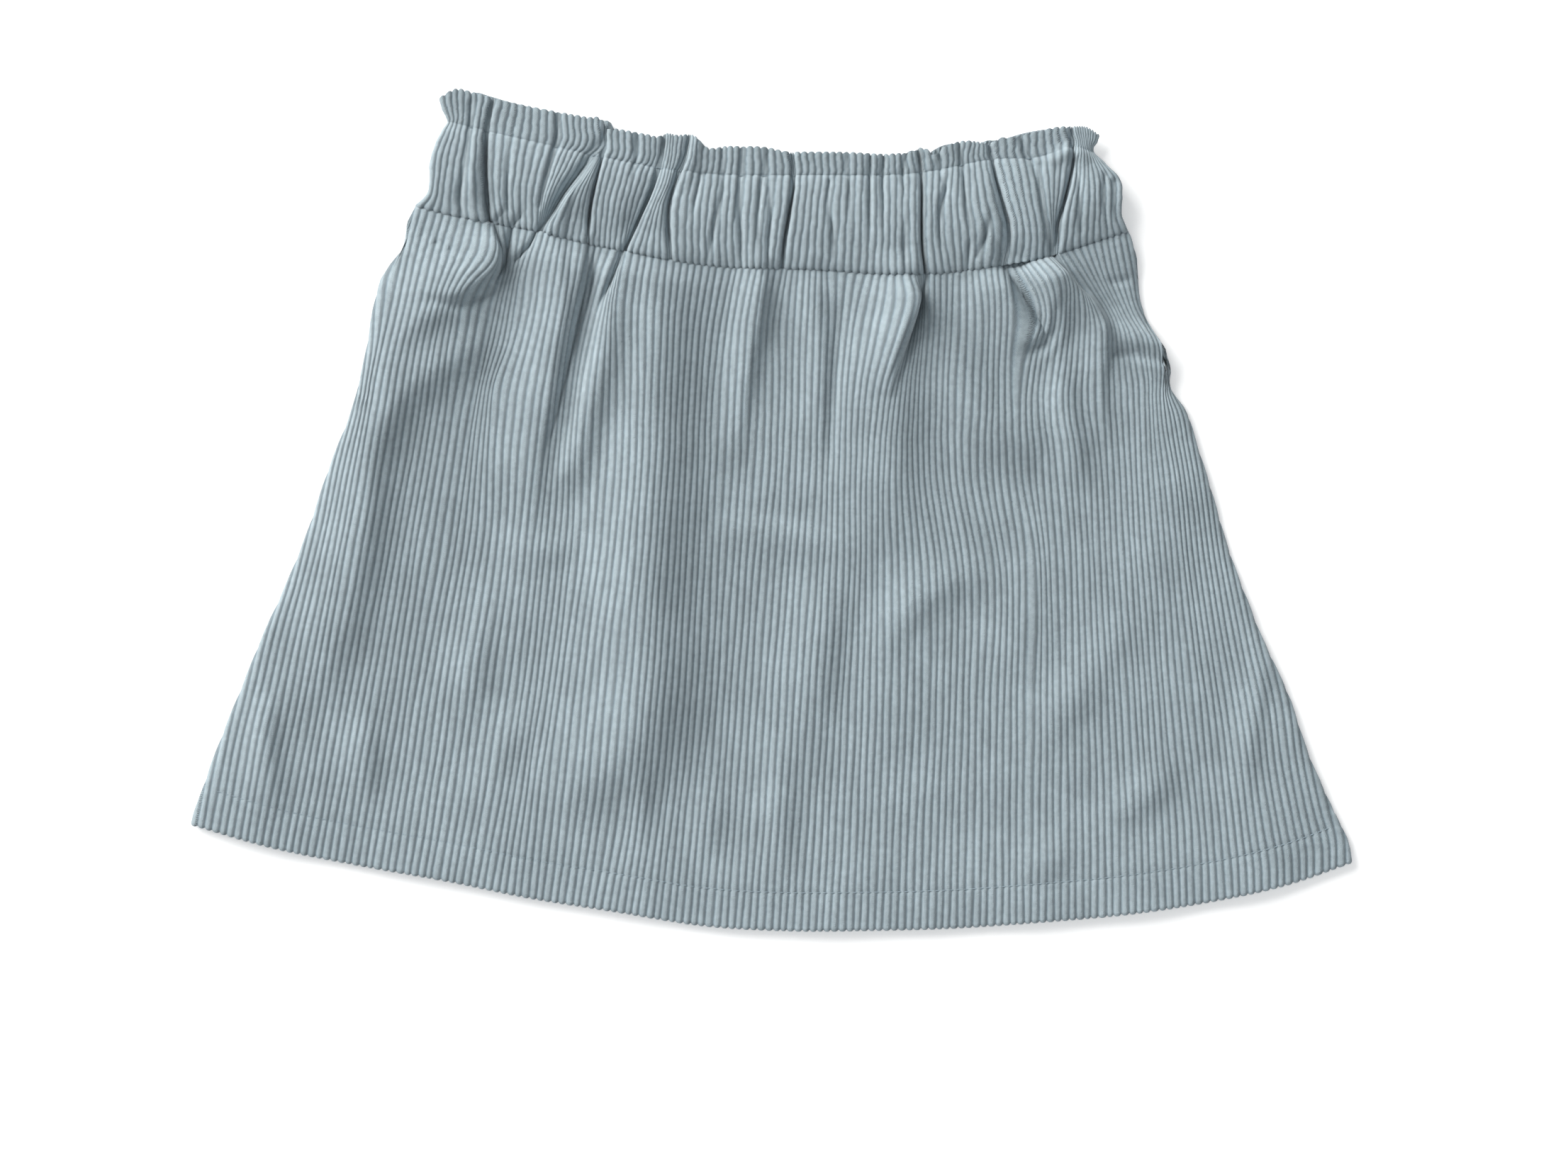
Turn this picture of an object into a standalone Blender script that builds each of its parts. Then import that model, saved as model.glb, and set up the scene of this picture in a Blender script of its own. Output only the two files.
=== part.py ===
"""Corduroy skirt laid flat, front up.

Four sewn pieces: an A-line front and back, and the two halves of a waistband, which is a strip folded double
round its elastic with a short frill above it. The front and its waistband are height maps over the surface that
the skirt lies on. Their wales follow guides, so they crowd together where a tuck takes them in.
Sizes are millimetres. +X is across the skirt, +Y towards the waist, +Z up.
"""

from typing import NamedTuple

import bmesh
import bpy
import numpy as np

MM = 0.001

# Cloth
RIB_HEIGHT = 0.8
CLOTH = 1.2
MOST_UPRIGHT = 2.0
HEM_WALES = 157
LEFT_CORNER_WALES = 14
RIGHT_CORNER_WALES = 18.5
BAND_WALES = 133

# Heights above the surface
BACK_TOP = 1.4
BACK_HEM_TOP = 2.0
PANEL_UNDER = 1.8
PANEL_TOP = PANEL_UNDER + CLOTH
HEM_LIFT = 1.0
HEM_DEPTH = 14.0
HEM_SLOPE = 26.0
SEAM_LIFT = 1.6
SEAM_LIFT_REACH = 14.0
BAND_UNDER = 3.6
BAND_LEAST = 1.2
BAND_SEAM = PANEL_TOP + SEAM_LIFT
BAND_STITCH = 5.2
BAND_PUFF = 3.8
FRILL_EDGE = 6.0
FRILL_CLOTH = 2.2
FRILL_START = 0.5
BACK_BAND_TOP = 3.3
BACK_FRILL_CLOTH = 2.0
BACK_FRILL_WAVE = 1.2
BACK_FRILL_WAVES = 15

# Edges and partings
PARTING = 0.3
ROLL_RADIUS = 3.5
ROLL_DROP = 1.7
UNDER_DROP = 1.5
BACK_INSET = 7.0
BACK_HEM_INSET = 1.0
SEAM_HOLD = 0.45
SEAM_HOLD_REACH = 10.0
SEAM_HOLD_SHARE = 0.3
FOLD_SAMPLES = 4

# Grid rows, as shares of the way from the seam, and how far a plain face may stray from the fine one
PANEL_ROWS = (0.0, 0.03, 0.07, 0.12, 0.18, 0.25, 0.34, 0.46, 0.6, 0.8, 0.94, 1.0)
BAND_ROWS = (0.0, 0.12, 0.35, 0.65, 0.88, 1.0, 1.25, 1.6, 2.0)
SPACING_ROWS = 60
PLACE_STEPS = 30
PLAIN_STRAY = 0.3
BACK_COLUMNS = 24
BACK_ROWS = (0.0, 0.3, 0.6, 0.85, 0.93, 0.96, 1.0)
BACK_BAND_COLUMNS = 60
BACK_BAND_ROWS = (0.0, 0.15, 0.85, 1.0, 2.0)
LAST_START = 0.985
LEAST_STEP = 1e-3


class EdgePoint(NamedTuple):
    along: float
    across: float


class LinePoint(NamedTuple):
    across: float
    along: float


class FoldPoint(NamedTuple):
    across: float
    along: float
    height: float


class Guide(NamedTuple):
    wale: float
    path: tuple


class Fold(NamedTuple):
    name: str
    up_left: float
    down_right: float
    path: tuple


def edge(*points):
    return tuple(EdgePoint(*point) for point in points)


def line(*points):
    return tuple(LinePoint(*point) for point in points)


def guide(wale, *points):
    """Where one wale runs, from the waist seam to its piece's end. Between guides the wales are spread evenly."""
    return Guide(wale, line(*points))


def fold(name, up_left, down_right, *points):
    """A ridge, or a valley where the height is negative, with a width on the upper left and on the lower right."""
    return Fold(name, up_left, down_right, tuple(FoldPoint(*point) for point in points))


# Columns: along, across
LEFT_EDGE = edge(
    (-125.5, -221.7), (-98, -213), (-76, -205), (-54, -197), (-32, -188), (-10, -180), (12, -173.5),
    (34, -165.5), (55, -161), (77, -158), (85, -156), (92, -151.5), (97, -148), (106, -147.5),
    (113, -144.6),
)
RIGHT_EDGE = edge(
    (-124, 221.7), (-115, 219), (-104, 213), (-83, 203), (-62, 195), (-40, 184), (-19, 175), (-8, 170.5),
    (13, 163.5), (34, 156), (45, 152), (54, 145.5), (61, 145.2), (67, 143.2), (77, 136), (84, 133.5),
    (94, 131.8), (104.4, 130.6), (113, 127.6),
)
BAND_LEFT = edge(
    (112.7, -144.6), (117, -140), (121, -139.2), (129, -139), (137, -137), (141.5, -135), (145, -133.4),
    (149.5, -135.4), (154, -137),
)
BAND_RIGHT = edge(
    (113, 127.6), (117.5, 124.9), (125.6, 124.4), (132.6, 123), (138.1, 117.4), (143.7, 113),
    (146.5, 114.6), (148.9, 115.2),
)

# Columns: across, along
HEM = line(
    (-221.7, -125.5), (-189, -133.5), (-156, -139), (-124, -143.5), (-91, -149), (-58, -153), (-26, -157),
    (6, -157.8), (39, -156.5), (71, -154.5), (104, -151), (136, -147), (168, -141), (200, -132.5),
    (221.7, -124),
)
SEAM = line(
    (-144.6, 112.7), (-126, 108.7), (-113, 106.8), (-96, 104.3), (-81, 101), (-64, 98.2), (-46, 95.4),
    (-21, 93.6), (5, 94), (45, 93.3), (62, 95), (83, 98.8), (97, 102), (107, 105.5), (122, 111),
    (127.6, 113),
)
STITCH_ROW = line(
    (-133.4, 145), (-114.5, 141), (-93, 137), (-71, 133), (-37, 128.8), (7, 129.5), (48, 132), (75, 138),
    (92, 139.5), (98, 141.3), (103, 143.4), (107, 144), (109.5, 143), (113.2, 142),
)
FRILL_TOP = line(
    (-137, 154), (-131, 157.6), (-124, 156.6), (-115, 154.4), (-102, 152), (-91, 150.3), (-80, 148.7),
    (-74.6, 147.8), (-72.8, 145), (-69, 144.7), (-58, 143.2), (-52.5, 142.6), (-50.5, 143.6), (-46, 143.2),
    (-38.6, 142.7), (-36, 139.9), (-26, 139.7), (-10.5, 139.6), (-4, 138.4), (4, 138.6), (17, 139),
    (39, 139.3), (44.5, 140.2), (47, 141.8), (49.5, 141.2), (52.5, 139.2), (55.5, 141.8), (58, 143.3),
    (70.5, 144.5), (73, 144), (76, 146), (82, 147), (93, 150), (99, 151.4), (105, 151.9), (110, 151.8),
    (115, 149),
)

# Columns: name, width up left, width down right, then points of across, along, height
PANEL_FOLDS = (
    fold("left lobe edge", 12, 3, (-118, 110, 3.4), (-115, 99, 4.6), (-115, 92, 4.1), (-120, 86, 1.8),
         (-126, 82, 0)),
    fold("left lobe", 18, 8, (-118, 104, 1.1), (-120, 90, 4.9), (-130, 81, 6.9), (-142, 76, 6),
         (-151, 67, 4.3), (-156, 52, 2.5), (-158, 38, 0)),
    fold("left slant", 14, 9, (-113, 67, 0), (-124, 60, 3.1), (-137, 50, 5.3), (-149, 40, 6), (-156, 26, 6),
         (-159, 6, 5.6), (-161, -16, 5.3), (-165, -40, 4.3), (-171, -60, 2.5), (-181, -76, 1.1),
         (-190, -90, 0)),
    fold("left pleat", 12, 6, (-91, 103, 5.2), (-89, 88, 6.2), (-89, 70, 6.6), (-91, 50, 5.6),
         (-93.5, 30, 4), (-96, 10, 2), (-98, -10, 0)),
    fold("left pleat side", 5, 3, (-80, 101, 3.8), (-81, 86, 3.8), (-84, 70, 1.7), (-86, 60, 0)),
    fold("narrow pleat", 5, 7, (-68, 88, 2.6), (-70, 70, 4.9), (-73, 50, 5.8), (-77, 32, 4.6),
         (-82, 15, 2.6), (-89, 4, 0)),
    fold("lobe hem", 2, 3.5, (-110, 90, -0.8), (-116.5, 81.5, -2.4), (-125, 77, -2.6), (-134, 77, -1.8),
         (-142, 79, 0)),
    fold("long pleat", 17, 17, (-55, 99, 4.7), (-54, 80, 7.2), (-52, 55, 8.2), (-51, 20, 8.2),
         (-51, -15, 8.2), (-50, -50, 7.9), (-50, -70, 7.4), (-54, -84, 6.4), (-64, -94, 4.7),
         (-77, -104, 2.4), (-88, -111, 0)),
    fold("middle pleat", 7, 4, (-12, 95, 4.6), (-13, 76, 4.9), (-16, 55, 3.5), (-18, 35, 1.7),
         (-20, 15, 0)),
    fold("middle gather", 6, 4, (7, 94, 1.4), (10, 75, 2), (12, 50, 1.4), (12, 25, 0)),
    fold("centre edge", 3, 2.2, (21, 92, 0), (18, 62, -1.3), (17, 32, -1.3), (16, 10, 0)),
    fold("lapped pleat", 10, 2.6, (45, 96, 4.9), (46, 86, 6.1), (43, 70, 5.2), (39.5, 55, 2.9),
         (37, 45, 0)),
    fold("centre rise", 26, 12, (45, 98, 4.3), (43, 70, 4.9), (40, 45, 5.2), (40, 20, 4.3), (42, 0, 2.2),
         (43, -14, 0)),
    fold("hip swell", 12, 12, (60, 74, 1.7), (64, 55, 4.2), (73, 40, 4.6), (87, 32, 2.8), (99, 28, 0)),
    fold("right lobe", 12, 4, (78, 99, 5.2), (80, 89, 6.2), (84, 79, 6.2), (89, 72, 5.2), (95, 68, 2.6),
         (101, 65, 0)),
    fold("hanging lobe", 4, 3.5, (88, 102, 4.6), (93, 91, 5.9), (98, 82, 6.2), (98, 75, 5.2), (95, 69, 2.6),
         (91, 65, 0)),
    fold("hanging lobe hem", 1.8, 3, (100.5, 82, -1), (100, 74, -2.8), (96, 68.5, -3), (91, 66, -1.4),
         (86, 65.5, 0)),
    fold("right slant", 8, 2.4, (97, 104, 5.2), (101, 96, 7.2), (107, 89, 7.5), (113, 84, 6.7),
         (118, 77, 5.2), (119.5, 68, 3.2), (119, 56, 1.7), (120, 44, 1.2), (123, 30, 0)),
    fold("right bulge hem", 1.5, 3.5, (119, 67, 0), (125, 66, -2), (132, 65.5, -2.6), (139, 64, -2.4),
         (145, 62, -2)),
    fold("right bulge", 8, 5, (117, 81, 0), (125, 76, 3.2), (133, 72, 5.2), (143, 68, 5.8)),
    fold("right gather", 6, 5, (103, 62, 1.4), (106, 45, 2.9), (110, 30, 2.3), (113, 12, 0)),
    fold("right hem run", 6, 4, (186, -44, 0.5), (183, -62, 1.4), (180, -85, 1.3), (178, -108, 0)),
    fold("right dimple", 9, 6, (85, -17, 0), (72, -20, 1.1), (58, -27, 1.7), (47, -38, 1.6), (38, -52, 0.6),
         (33, -62, 0)),
    fold("cross crease", 9, 4, (-28, -2, 0), (-18, -5, 1.5), (0, -6, 1.8), (15, -9, 1.8), (28, -17, 1.1),
         (36, -27, 0)),
    fold("centre swell", 12, 8, (14, -20, 0), (17, -40, 2.3), (15, -62, 2.3), (11, -86, 1.4), (9, -102, 0)),
    fold("left swell", 8, 6, (-116, -36, 0), (-116, -58, 1.9), (-117, -80, 0)),
    fold("left cross crease", 6, 5, (-103, -6, 0), (-97, -14, 1.6), (-88, -17, 1.6), (-77, -14, 0)),
    fold("left dimple", 8, 7, (-90, -70, 0), (-97, -84, 1.2), (-106, -97, 1.3), (-112, -112, 0)),
    fold("left hem ripple", 7, 5, (-195, -74, 0), (-194, -92, 3.2), (-192, -108, 2.3), (-190, -122, 0)),
    fold("second hem ripple", 7, 5, (-158, -80, 0), (-156, -98, 2.2), (-153, -115, 0)),
    fold("third hem ripple", 6, 5, (-26, -103, 0), (-24, -118, 1.6), (-23, -132, 0)),
    fold("fourth hem ripple", 6, 6, (1, -84, 0), (3, -104, 1.9), (3, -124, 1.3), (2, -138, 0)),
    fold("fifth hem ripple", 5, 4, (-52, -98, 0), (-50, -112, 1.4), (-50, -126, 0)),
    fold("right slope", 9, 8, (129, -36, 0), (121, -52, 1.3), (110, -70, 1.5), (97, -88, 0)),
    fold("right hem ripple", 8, 6, (152, -86, 0), (146, -97, 2), (136, -106, 2), (123, -113, 0)),
    fold("low right ripple", 8, 6, (118, -122, 0), (106, -128, 1.7), (92, -134, 0)),
)
BAND_FOLDS = (
    fold("first tuck", 0.8, 0.8, (-115.8, 157, -3.8), (-117.5, 147, -4.2), (-118.3, 138, -5.8),
         (-118, 128, -6.2), (-117.3, 118, -6.2), (-115.5, 106, -6.2)),
    fold("end roll", 3, 2, (-122, 147, 0.6), (-122, 135, 1.3), (-122.5, 120, 1.6), (-120, 109, 1)),
    fold("end groove", 1.3, 1.5, (-124.6, 152, -1.4), (-124.3, 140, -1.4), (-125.4, 128, -1),
         (-127.5, 117, -2), (-126, 109, -2)),
    fold("slanting tuck", 2.4, 1, (-75, 138, -1.8), (-81, 128.5, -3.6), (-88, 118.5, -4.3),
         (-95.3, 105, -4.3)),
    fold("slanting edge", 1.5, 5, (-73.5, 134, 0.4), (-78.5, 126, 1.6), (-84.5, 117, 2.2), (-91, 107, 2.2)),
    fold("second tuck", 0.9, 0.9, (-73, 148, -3.6), (-73.3, 138, -4.3), (-74.8, 128, -3.6),
         (-77, 118, -4.3), (-78, 110, -4.3), (-78, 101, -2.9)),
    fold("deep tuck", 0.8, 0.9, (-50.3, 145, -4.4), (-51.5, 134, -5.8), (-53, 127, -6.2),
         (-56.3, 117, -6.2), (-60, 108, -6.2), (-64, 98, -5.8)),
    fold("third tuck", 1.3, 1.1, (-41, 142, -2), (-42.5, 134, -2.6), (-45, 127, -3.7), (-47.5, 118, -4.2),
         (-47.8, 109, -3.4), (-46.2, 96, -2.6)),
    fold("frill flap", 2.5, 2, (-38, 142, 1.6), (-39.5, 134, 1.6), (-41.5, 127, 1.1), (-44, 120, 0)),
    fold("middle tuck", 0.9, 0.9, (-1.8, 140, -4), (-1, 131, -3.4), (-0.7, 124, -4), (-1.9, 115, -4.7),
         (-3.4, 104, -4.7), (-4, 94, -4)),
    fold("upright tuck", 0.75, 0.8, (46, 143, -4.5), (47.4, 134, -5), (48.1, 126, -6.2), (48.4, 115, -6.2),
         (49, 104, -6.2), (50.5, 93, -5.8)),
    fold("right tuck", 0.9, 0.9, (72.5, 146, -2.6), (74.5, 138, -3.4), (76, 131, -4), (78.8, 122, -4.7),
         (81.5, 113, -5.1), (82, 106, -5.1), (81, 98, -5.3)),
    fold("last tuck", 0.9, 0.9, (104, 152, -3.2), (105, 144, -3.7), (105.3, 139, -4.2), (104, 130, -4.4),
         (102, 121, -5), (100.4, 114.5, -5.5), (100.6, 108, -6.1), (100.2, 103, -6.6)),
    fold("beside the deep tuck", 5, 2, (-50.3, 143, 0), (-53, 128, -1.4), (-57, 117, -2), (-62, 104, -2),
         (-64, 98, -1)),
    fold("beside the first tuck", 2, 4, (-117, 145, 0), (-117.5, 128, -1.2), (-116.5, 114, -1.6),
         (-115, 106, -1)),
    fold("beside the right tuck", 4, 1.5, (77, 134, 0), (79.5, 122, -1.4), (82, 112, -2), (82, 103, -2)),
    fold("beside the last tuck", 4, 1.5, (105, 137, 0), (102, 123, -1.2), (100, 112, -1.8), (99, 104, -2)),
    fold("frill lump", 2.6, 2.6, (97, 138, 1), (103, 142, 2.4), (107, 141, 2), (111, 137, 0)),
    fold("seam hollow", 1.8, 1.6, (82, 101, -2), (88, 103, -2.4), (94, 104, -2.4), (99, 105, -2.4)),
)

# Columns: number from the left end, then points of across, along
PANEL_GUIDES = (
    guide(14, (-144.6, 112), (-150, 85), (-154, 62), (-159, 30), (-164, -8), (-171, -58), (-178, -108),
          (-182, -134)),
    guide(19, (-130, 109), (-136, 85), (-141, 62), (-145, 30), (-150, -8), (-157, -58), (-164, -108),
          (-168, -137)),
    guide(24.7, (-114, 107), (-117, 92), (-125, 80), (-127, 66), (-129, 50), (-131, 30), (-136, -8),
          (-142, -58), (-148, -108), (-152, -139)),
    guide(28.2, (-112.5, 107), (-110, 92), (-112.5, 80), (-116, 62), (-121, 30), (-125, -8), (-132, -58),
          (-138, -108), (-142, -140)),
    guide(33, (-98, 104), (-103, 90), (-105, 75), (-107, 62), (-112, 45), (-113, 30), (-113.5, -8),
          (-119, -58), (-124, -108), (-128.5, -142)),
    guide(34, (-97, 104), (-100.5, 90), (-102, 75), (-104.5, 62), (-109, 45), (-110, 30), (-110.5, -8),
          (-116, -58), (-121, -108), (-125.5, -143)),
    guide(40, (-83.5, 101), (-86, 80), (-88.5, 62), (-91, 30), (-94, -8), (-97.5, -58), (-103, -108),
          (-108.5, -146)),
    guide(46.2, (-66, 98), (-71.5, 80), (-75.5, 62), (-79, 30), (-79, -8), (-83, -58), (-88, -108),
          (-91, -149)),
    guide(50.7, (-64, 98), (-66.5, 80), (-66, 62), (-65, 30), (-66, -8), (-71, -58), (-74, -108),
          (-78.5, -150)),
    guide(57, (-47.5, 95), (-48.5, 78), (-48.5, 55), (-48.5, 20), (-50, -19), (-52, -69), (-56, -119),
          (-60.5, -153)),
    guide(66, (-23, 94), (-26, 75), (-28, 51), (-28.5, 19), (-29, -19), (-30, -69), (-33, -119),
          (-35.5, -156)),
    guide(74, (-3.7, 94), (-6, 75), (-5.5, 51), (-5.5, 19), (-7.5, -19), (-9.5, -69), (-11, -119),
          (-12.7, -158)),
    guide(82, (13.5, 94), (14.5, 75), (14.5, 51), (14.7, 19), (14, -19), (12.5, -69), (11, -119),
          (10, -158)),
    guide(86, (28.5, 94), (25, 75), (23, 51), (23, 19), (24, -19), (23, -69), (22, -119), (21, -157)),
    guide(92.5, (45.5, 93), (46, 85), (43.5, 70), (39.5, 52), (37, 19), (38, -19), (39.5, -69),
          (39.5, -119), (39.5, -156)),
    guide(99.5, (51, 94), (51.5, 75), (51, 51), (52, 19), (58, -19), (60, -69), (59.5, -119), (59.5, -155)),
    guide(104.3, (62.5, 95), (62.5, 75), (62, 51), (63.5, 19), (70.5, -19), (72, -69), (72.5, -119),
          (73, -154)),
    guide(108.2, (71.5, 97), (74, 77), (74, 53), (74.5, 19), (82, -19), (82.5, -69), (83.5, -119),
          (84, -153)),
    guide(112.8, (82, 99), (84, 80), (84.5, 58), (86.5, 25), (92.5, -14), (94, -64), (95.5, -114),
          (97, -152)),
    guide(114, (84, 99), (92, 86), (94, 78), (91, 66), (89, 50), (90, 25), (97, -14), (98.5, -64),
          (99.5, -114), (100, -151)),
    guide(117, (90, 100), (97, 88), (99, 78), (97, 66), (95.5, 50), (98, 25), (102.5, -14), (105.5, -64),
          (107.5, -114), (108.7, -150)),
    guide(120, (97, 102), (102.5, 90), (104.5, 78), (104, 66), (102.5, 50), (106, 25), (110.5, -14),
          (113.5, -64), (116, -114), (117.2, -149)),
    guide(124, (99.5, 103), (109, 87), (112, 78), (112.5, 66), (112, 50), (116, 25), (119.5, -14),
          (123.5, -64), (127, -114), (128.5, -148)),
    guide(127.5, (101, 103.5), (112, 85.5), (118.5, 75), (120.5, 62), (122, 45), (124, 25), (127.5, -14),
          (132.5, -64), (137, -114), (138.3, -147)),
    guide(128.5, (102.5, 104), (114, 89), (120.5, 79), (122.5, 66), (124, 50), (126.5, 25), (130, -14),
          (135.5, -64), (139.5, -114), (141.2, -146)),
    guide(134, (117.5, 109), (121, 95), (127, 82), (133, 68), (135.5, 58), (137, 40), (139, 15),
          (143.5, -24), (149, -74), (154.5, -114), (156.7, -143)),
    guide(138.5, (127.6, 113), (131.4, 97), (133.4, 85), (140.5, 71), (142.5, 60), (143, 48), (148, 20),
          (153.5, -20), (161, -70), (167, -114), (169.4, -141)),
)
BAND_GUIDES = (
    guide(3, (-134.5, 110.5), (-133, 121), (-131.5, 132), (-129.5, 144), (-129.5, 157)),
    guide(8, (-116.3, 107.5), (-118.1, 118), (-118.8, 128), (-119.1, 138), (-116.7, 154.5)),
    guide(12, (-114.7, 107), (-116.5, 118), (-117.2, 128), (-117.5, 138), (-115.1, 153.5)),
    guide(20, (-97, 104.5), (-96.5, 118), (-94.5, 128), (-92.5, 137), (-92, 150)),
    guide(27.3, (-95.3, 104), (-88, 118), (-81, 128), (-74.6, 137), (-74.4, 146)),
    guide(28, (-94.3, 104), (-86.8, 118), (-79.6, 128), (-74, 136), (-73.8, 146)),
    guide(34, (-78.5, 100.5), (-77.5, 118), (-75.3, 128), (-73.4, 135), (-73.3, 146)),
    guide(35, (-77.5, 100.4), (-76.5, 118), (-74.4, 128), (-72.9, 135), (-72.5, 145.5)),
    guide(41.5, (-64.6, 98.3), (-62, 117), (-59.5, 128), (-57.5, 132), (-56.5, 143.5)),
    guide(44, (-64.1, 98.2), (-60.8, 108), (-57.1, 117), (-53.8, 127), (-52.3, 133.5), (-51, 143.3)),
    guide(48, (-63.3, 98), (-59.4, 108), (-55.5, 117), (-52.2, 127), (-50.8, 133.5), (-49.6, 143.3)),
    guide(51, (-56, 97), (-52.3, 115), (-48.8, 125), (-47.6, 132), (-46.8, 143)),
    guide(54, (-47.3, 95.7), (-48.6, 110), (-48.2, 118), (-45.8, 126), (-43, 133.5), (-41.6, 142)),
    guide(56, (-45.7, 95.5), (-47.1, 110), (-46.8, 118), (-44.2, 126), (-41.6, 133.5), (-40.2, 141.5)),
    guide(58, (-40.5, 95), (-40.8, 110), (-40.2, 118), (-38.9, 128), (-37.6, 140.5)),
    guide(65, (-21.8, 93.7), (-22.8, 110), (-22.4, 118), (-21.8, 129), (-21.6, 139.4)),
    guide(72, (-4.5, 93.8), (-3.2, 108), (-2.2, 116), (-1.5, 129), (-2.6, 138.5)),
    guide(74, (-3.3, 93.9), (-2, 108), (-1.1, 116), (-0.2, 129), (-0.9, 138.6)),
    guide(80, (14, 93.8), (14.4, 108), (14.6, 118), (15.4, 130), (15, 139)),
    guide(86, (31.5, 93.5), (31.6, 108), (31.3, 118), (31, 131), (31, 139.2)),
    guide(92.5, (49.7, 93.4), (48.3, 104), (47.7, 115), (47.4, 126), (46.7, 134), (45.3, 140.3)),
    guide(97.5, (51.2, 93.6), (49.7, 104), (49.1, 115), (48.8, 126), (48.1, 134), (46.9, 140.8)),
    guide(101, (60.5, 94.8), (57.6, 110), (57, 120), (58, 133), (57.4, 142.6)),
    guide(105, (69, 96.3), (69.5, 110), (67.6, 120), (66, 136), (66.5, 143.8)),
    guide(108.5, (80.3, 98.3), (81.3, 106), (80.8, 113), (78.1, 122), (75.3, 131), (72, 144.6)),
    guide(111, (81.7, 98.5), (82.7, 106), (82.2, 113), (79.5, 122), (76.7, 131), (73.4, 145)),
    guide(114, (90.3, 100.3), (90.6, 110), (88, 121), (84.5, 138), (83, 147.3)),
    guide(117, (98.4, 102.4), (98, 110), (96, 121), (92.6, 140), (91.5, 149.6)),
    guide(121.5, (99.5, 102.8), (99.9, 110), (101.4, 121), (103.8, 131), (104.8, 139), (103.6, 151.5)),
    guide(123, (100.9, 103.2), (101.3, 110), (102.8, 121), (105.2, 131), (106, 139), (105, 151.4)),
    guide(128, (114.6, 108.3), (114.4, 118), (114, 128), (111.4, 142), (109.6, 150.6)),
)

# Columns: red, green, blue, all linear
FRONT_COLOUR = (0.28, 0.345, 0.38, 1.0)
BACK_COLOUR = (0.26, 0.325, 0.36, 1.0)
CLOTH_ROUGHNESS = 0.9


def ease(share):
    share = np.clip(share, 0.0, 1.0)
    return share * share * (3 - 2 * share)


def mix(first, second, share):
    return first + (second - first) * share


def through(points, places):
    """A smooth curve through a table's two columns, read at these places of its first column."""
    knots, values = np.array(points, float).T
    slopes = np.gradient(values, knots)
    places = np.clip(places, knots[0], knots[-1])
    start = np.clip(np.searchsorted(knots, places) - 1, 0, len(knots) - 2)
    span = knots[start + 1] - knots[start]
    t = (places - knots[start]) / span
    return (
        values[start] * (1 + 2 * t) * (1 - t) ** 2
        + slopes[start] * span * t * (1 - t) ** 2
        + values[start + 1] * t * t * (3 - 2 * t)
        + slopes[start + 1] * span * t * t * (t - 1)
    )


def fold_height(folds, x, y):
    """The sum of the folds at these points, each a rounded ridge along its own path."""
    total = np.zeros(np.shape(x))
    for each in folds:
        steps = np.arange(len(each.path))
        fine = np.linspace(0, len(each.path) - 1, (len(each.path) - 1) * FOLD_SAMPLES + 1)
        path = np.array([through(list(zip(steps, column)), fine) for column in zip(*each.path)])
        nearest = np.full(np.shape(x), np.inf)
        height = np.zeros(np.shape(x))
        side = np.zeros(np.shape(x))
        for (ax, ay, ah), (bx, by, bh) in zip(path.T[:-1], path.T[1:]):
            run = (bx - ax) ** 2 + (by - ay) ** 2
            share = np.clip(((x - ax) * (bx - ax) + (y - ay) * (by - ay)) / run, 0, 1)
            away_x = x - mix(ax, bx, share)
            away_y = y - mix(ay, by, share)
            away = np.hypot(away_x, away_y)
            closer = away < nearest
            nearest = np.where(closer, away, nearest)
            height = np.where(closer, mix(ah, bh, share), height)
            side = np.where(closer, (bx - ax) * away_y - (by - ay) * away_x, side)
        width = np.where(side > 0, each.down_right, each.up_left)
        total += height * np.exp(-((nearest / width) ** 2))
    return total


def rolled(distance):
    """How far a side edge has turned down, from 1 at the edge to 0 where the cloth lies level."""
    share = 1 - np.clip(distance / ROLL_RADIUS, 0, 1)
    return 1 - np.sqrt(1 - share**2)


def panel_place(across, down, inset=0.0):
    """Where a point of the panel lies, how far it is from a side and how long the panel is there.

    across is its share of the way from the left side, down its share of the way from the seam to the hem.
    """
    seam_y = through(SEAM, mix(SEAM[0].across, SEAM[-1].across, across)) - PARTING / 2
    hem_y = through(HEM, mix(HEM[0].across, HEM[-1].across, across))
    left_x = through(LEFT_EDGE, mix(SEAM[0].along, HEM[0].along, down)) + inset
    right_x = through(RIGHT_EDGE, mix(SEAM[-1].along, HEM[-1].along, down)) - inset
    x = mix(left_x, right_x, across)
    return x, mix(seam_y, hem_y, down), np.minimum(x - left_x, right_x - x), seam_y - hem_y


def hem_share(from_hem):
    """1 on the turned-up hem, falling to 0 above it."""
    return ease(1 - (from_hem - HEM_DEPTH) / HEM_SLOPE)


def panel_surface(across, down):
    """The front panel's outside without its wales."""
    x, y, from_side, length = panel_place(across, down)
    from_seam = length * down
    held = mix(SEAM_HOLD, 1.0, ease(from_seam / SEAM_HOLD_REACH))
    level = PANEL_TOP + SEAM_LIFT * np.exp(-((from_seam / SEAM_LIFT_REACH) ** 2))
    level = level + HEM_LIFT * hem_share(length * (1 - down)) - ROLL_DROP * rolled(from_side)
    return x, y, level + held * fold_height(PANEL_FOLDS, x, y)


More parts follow.
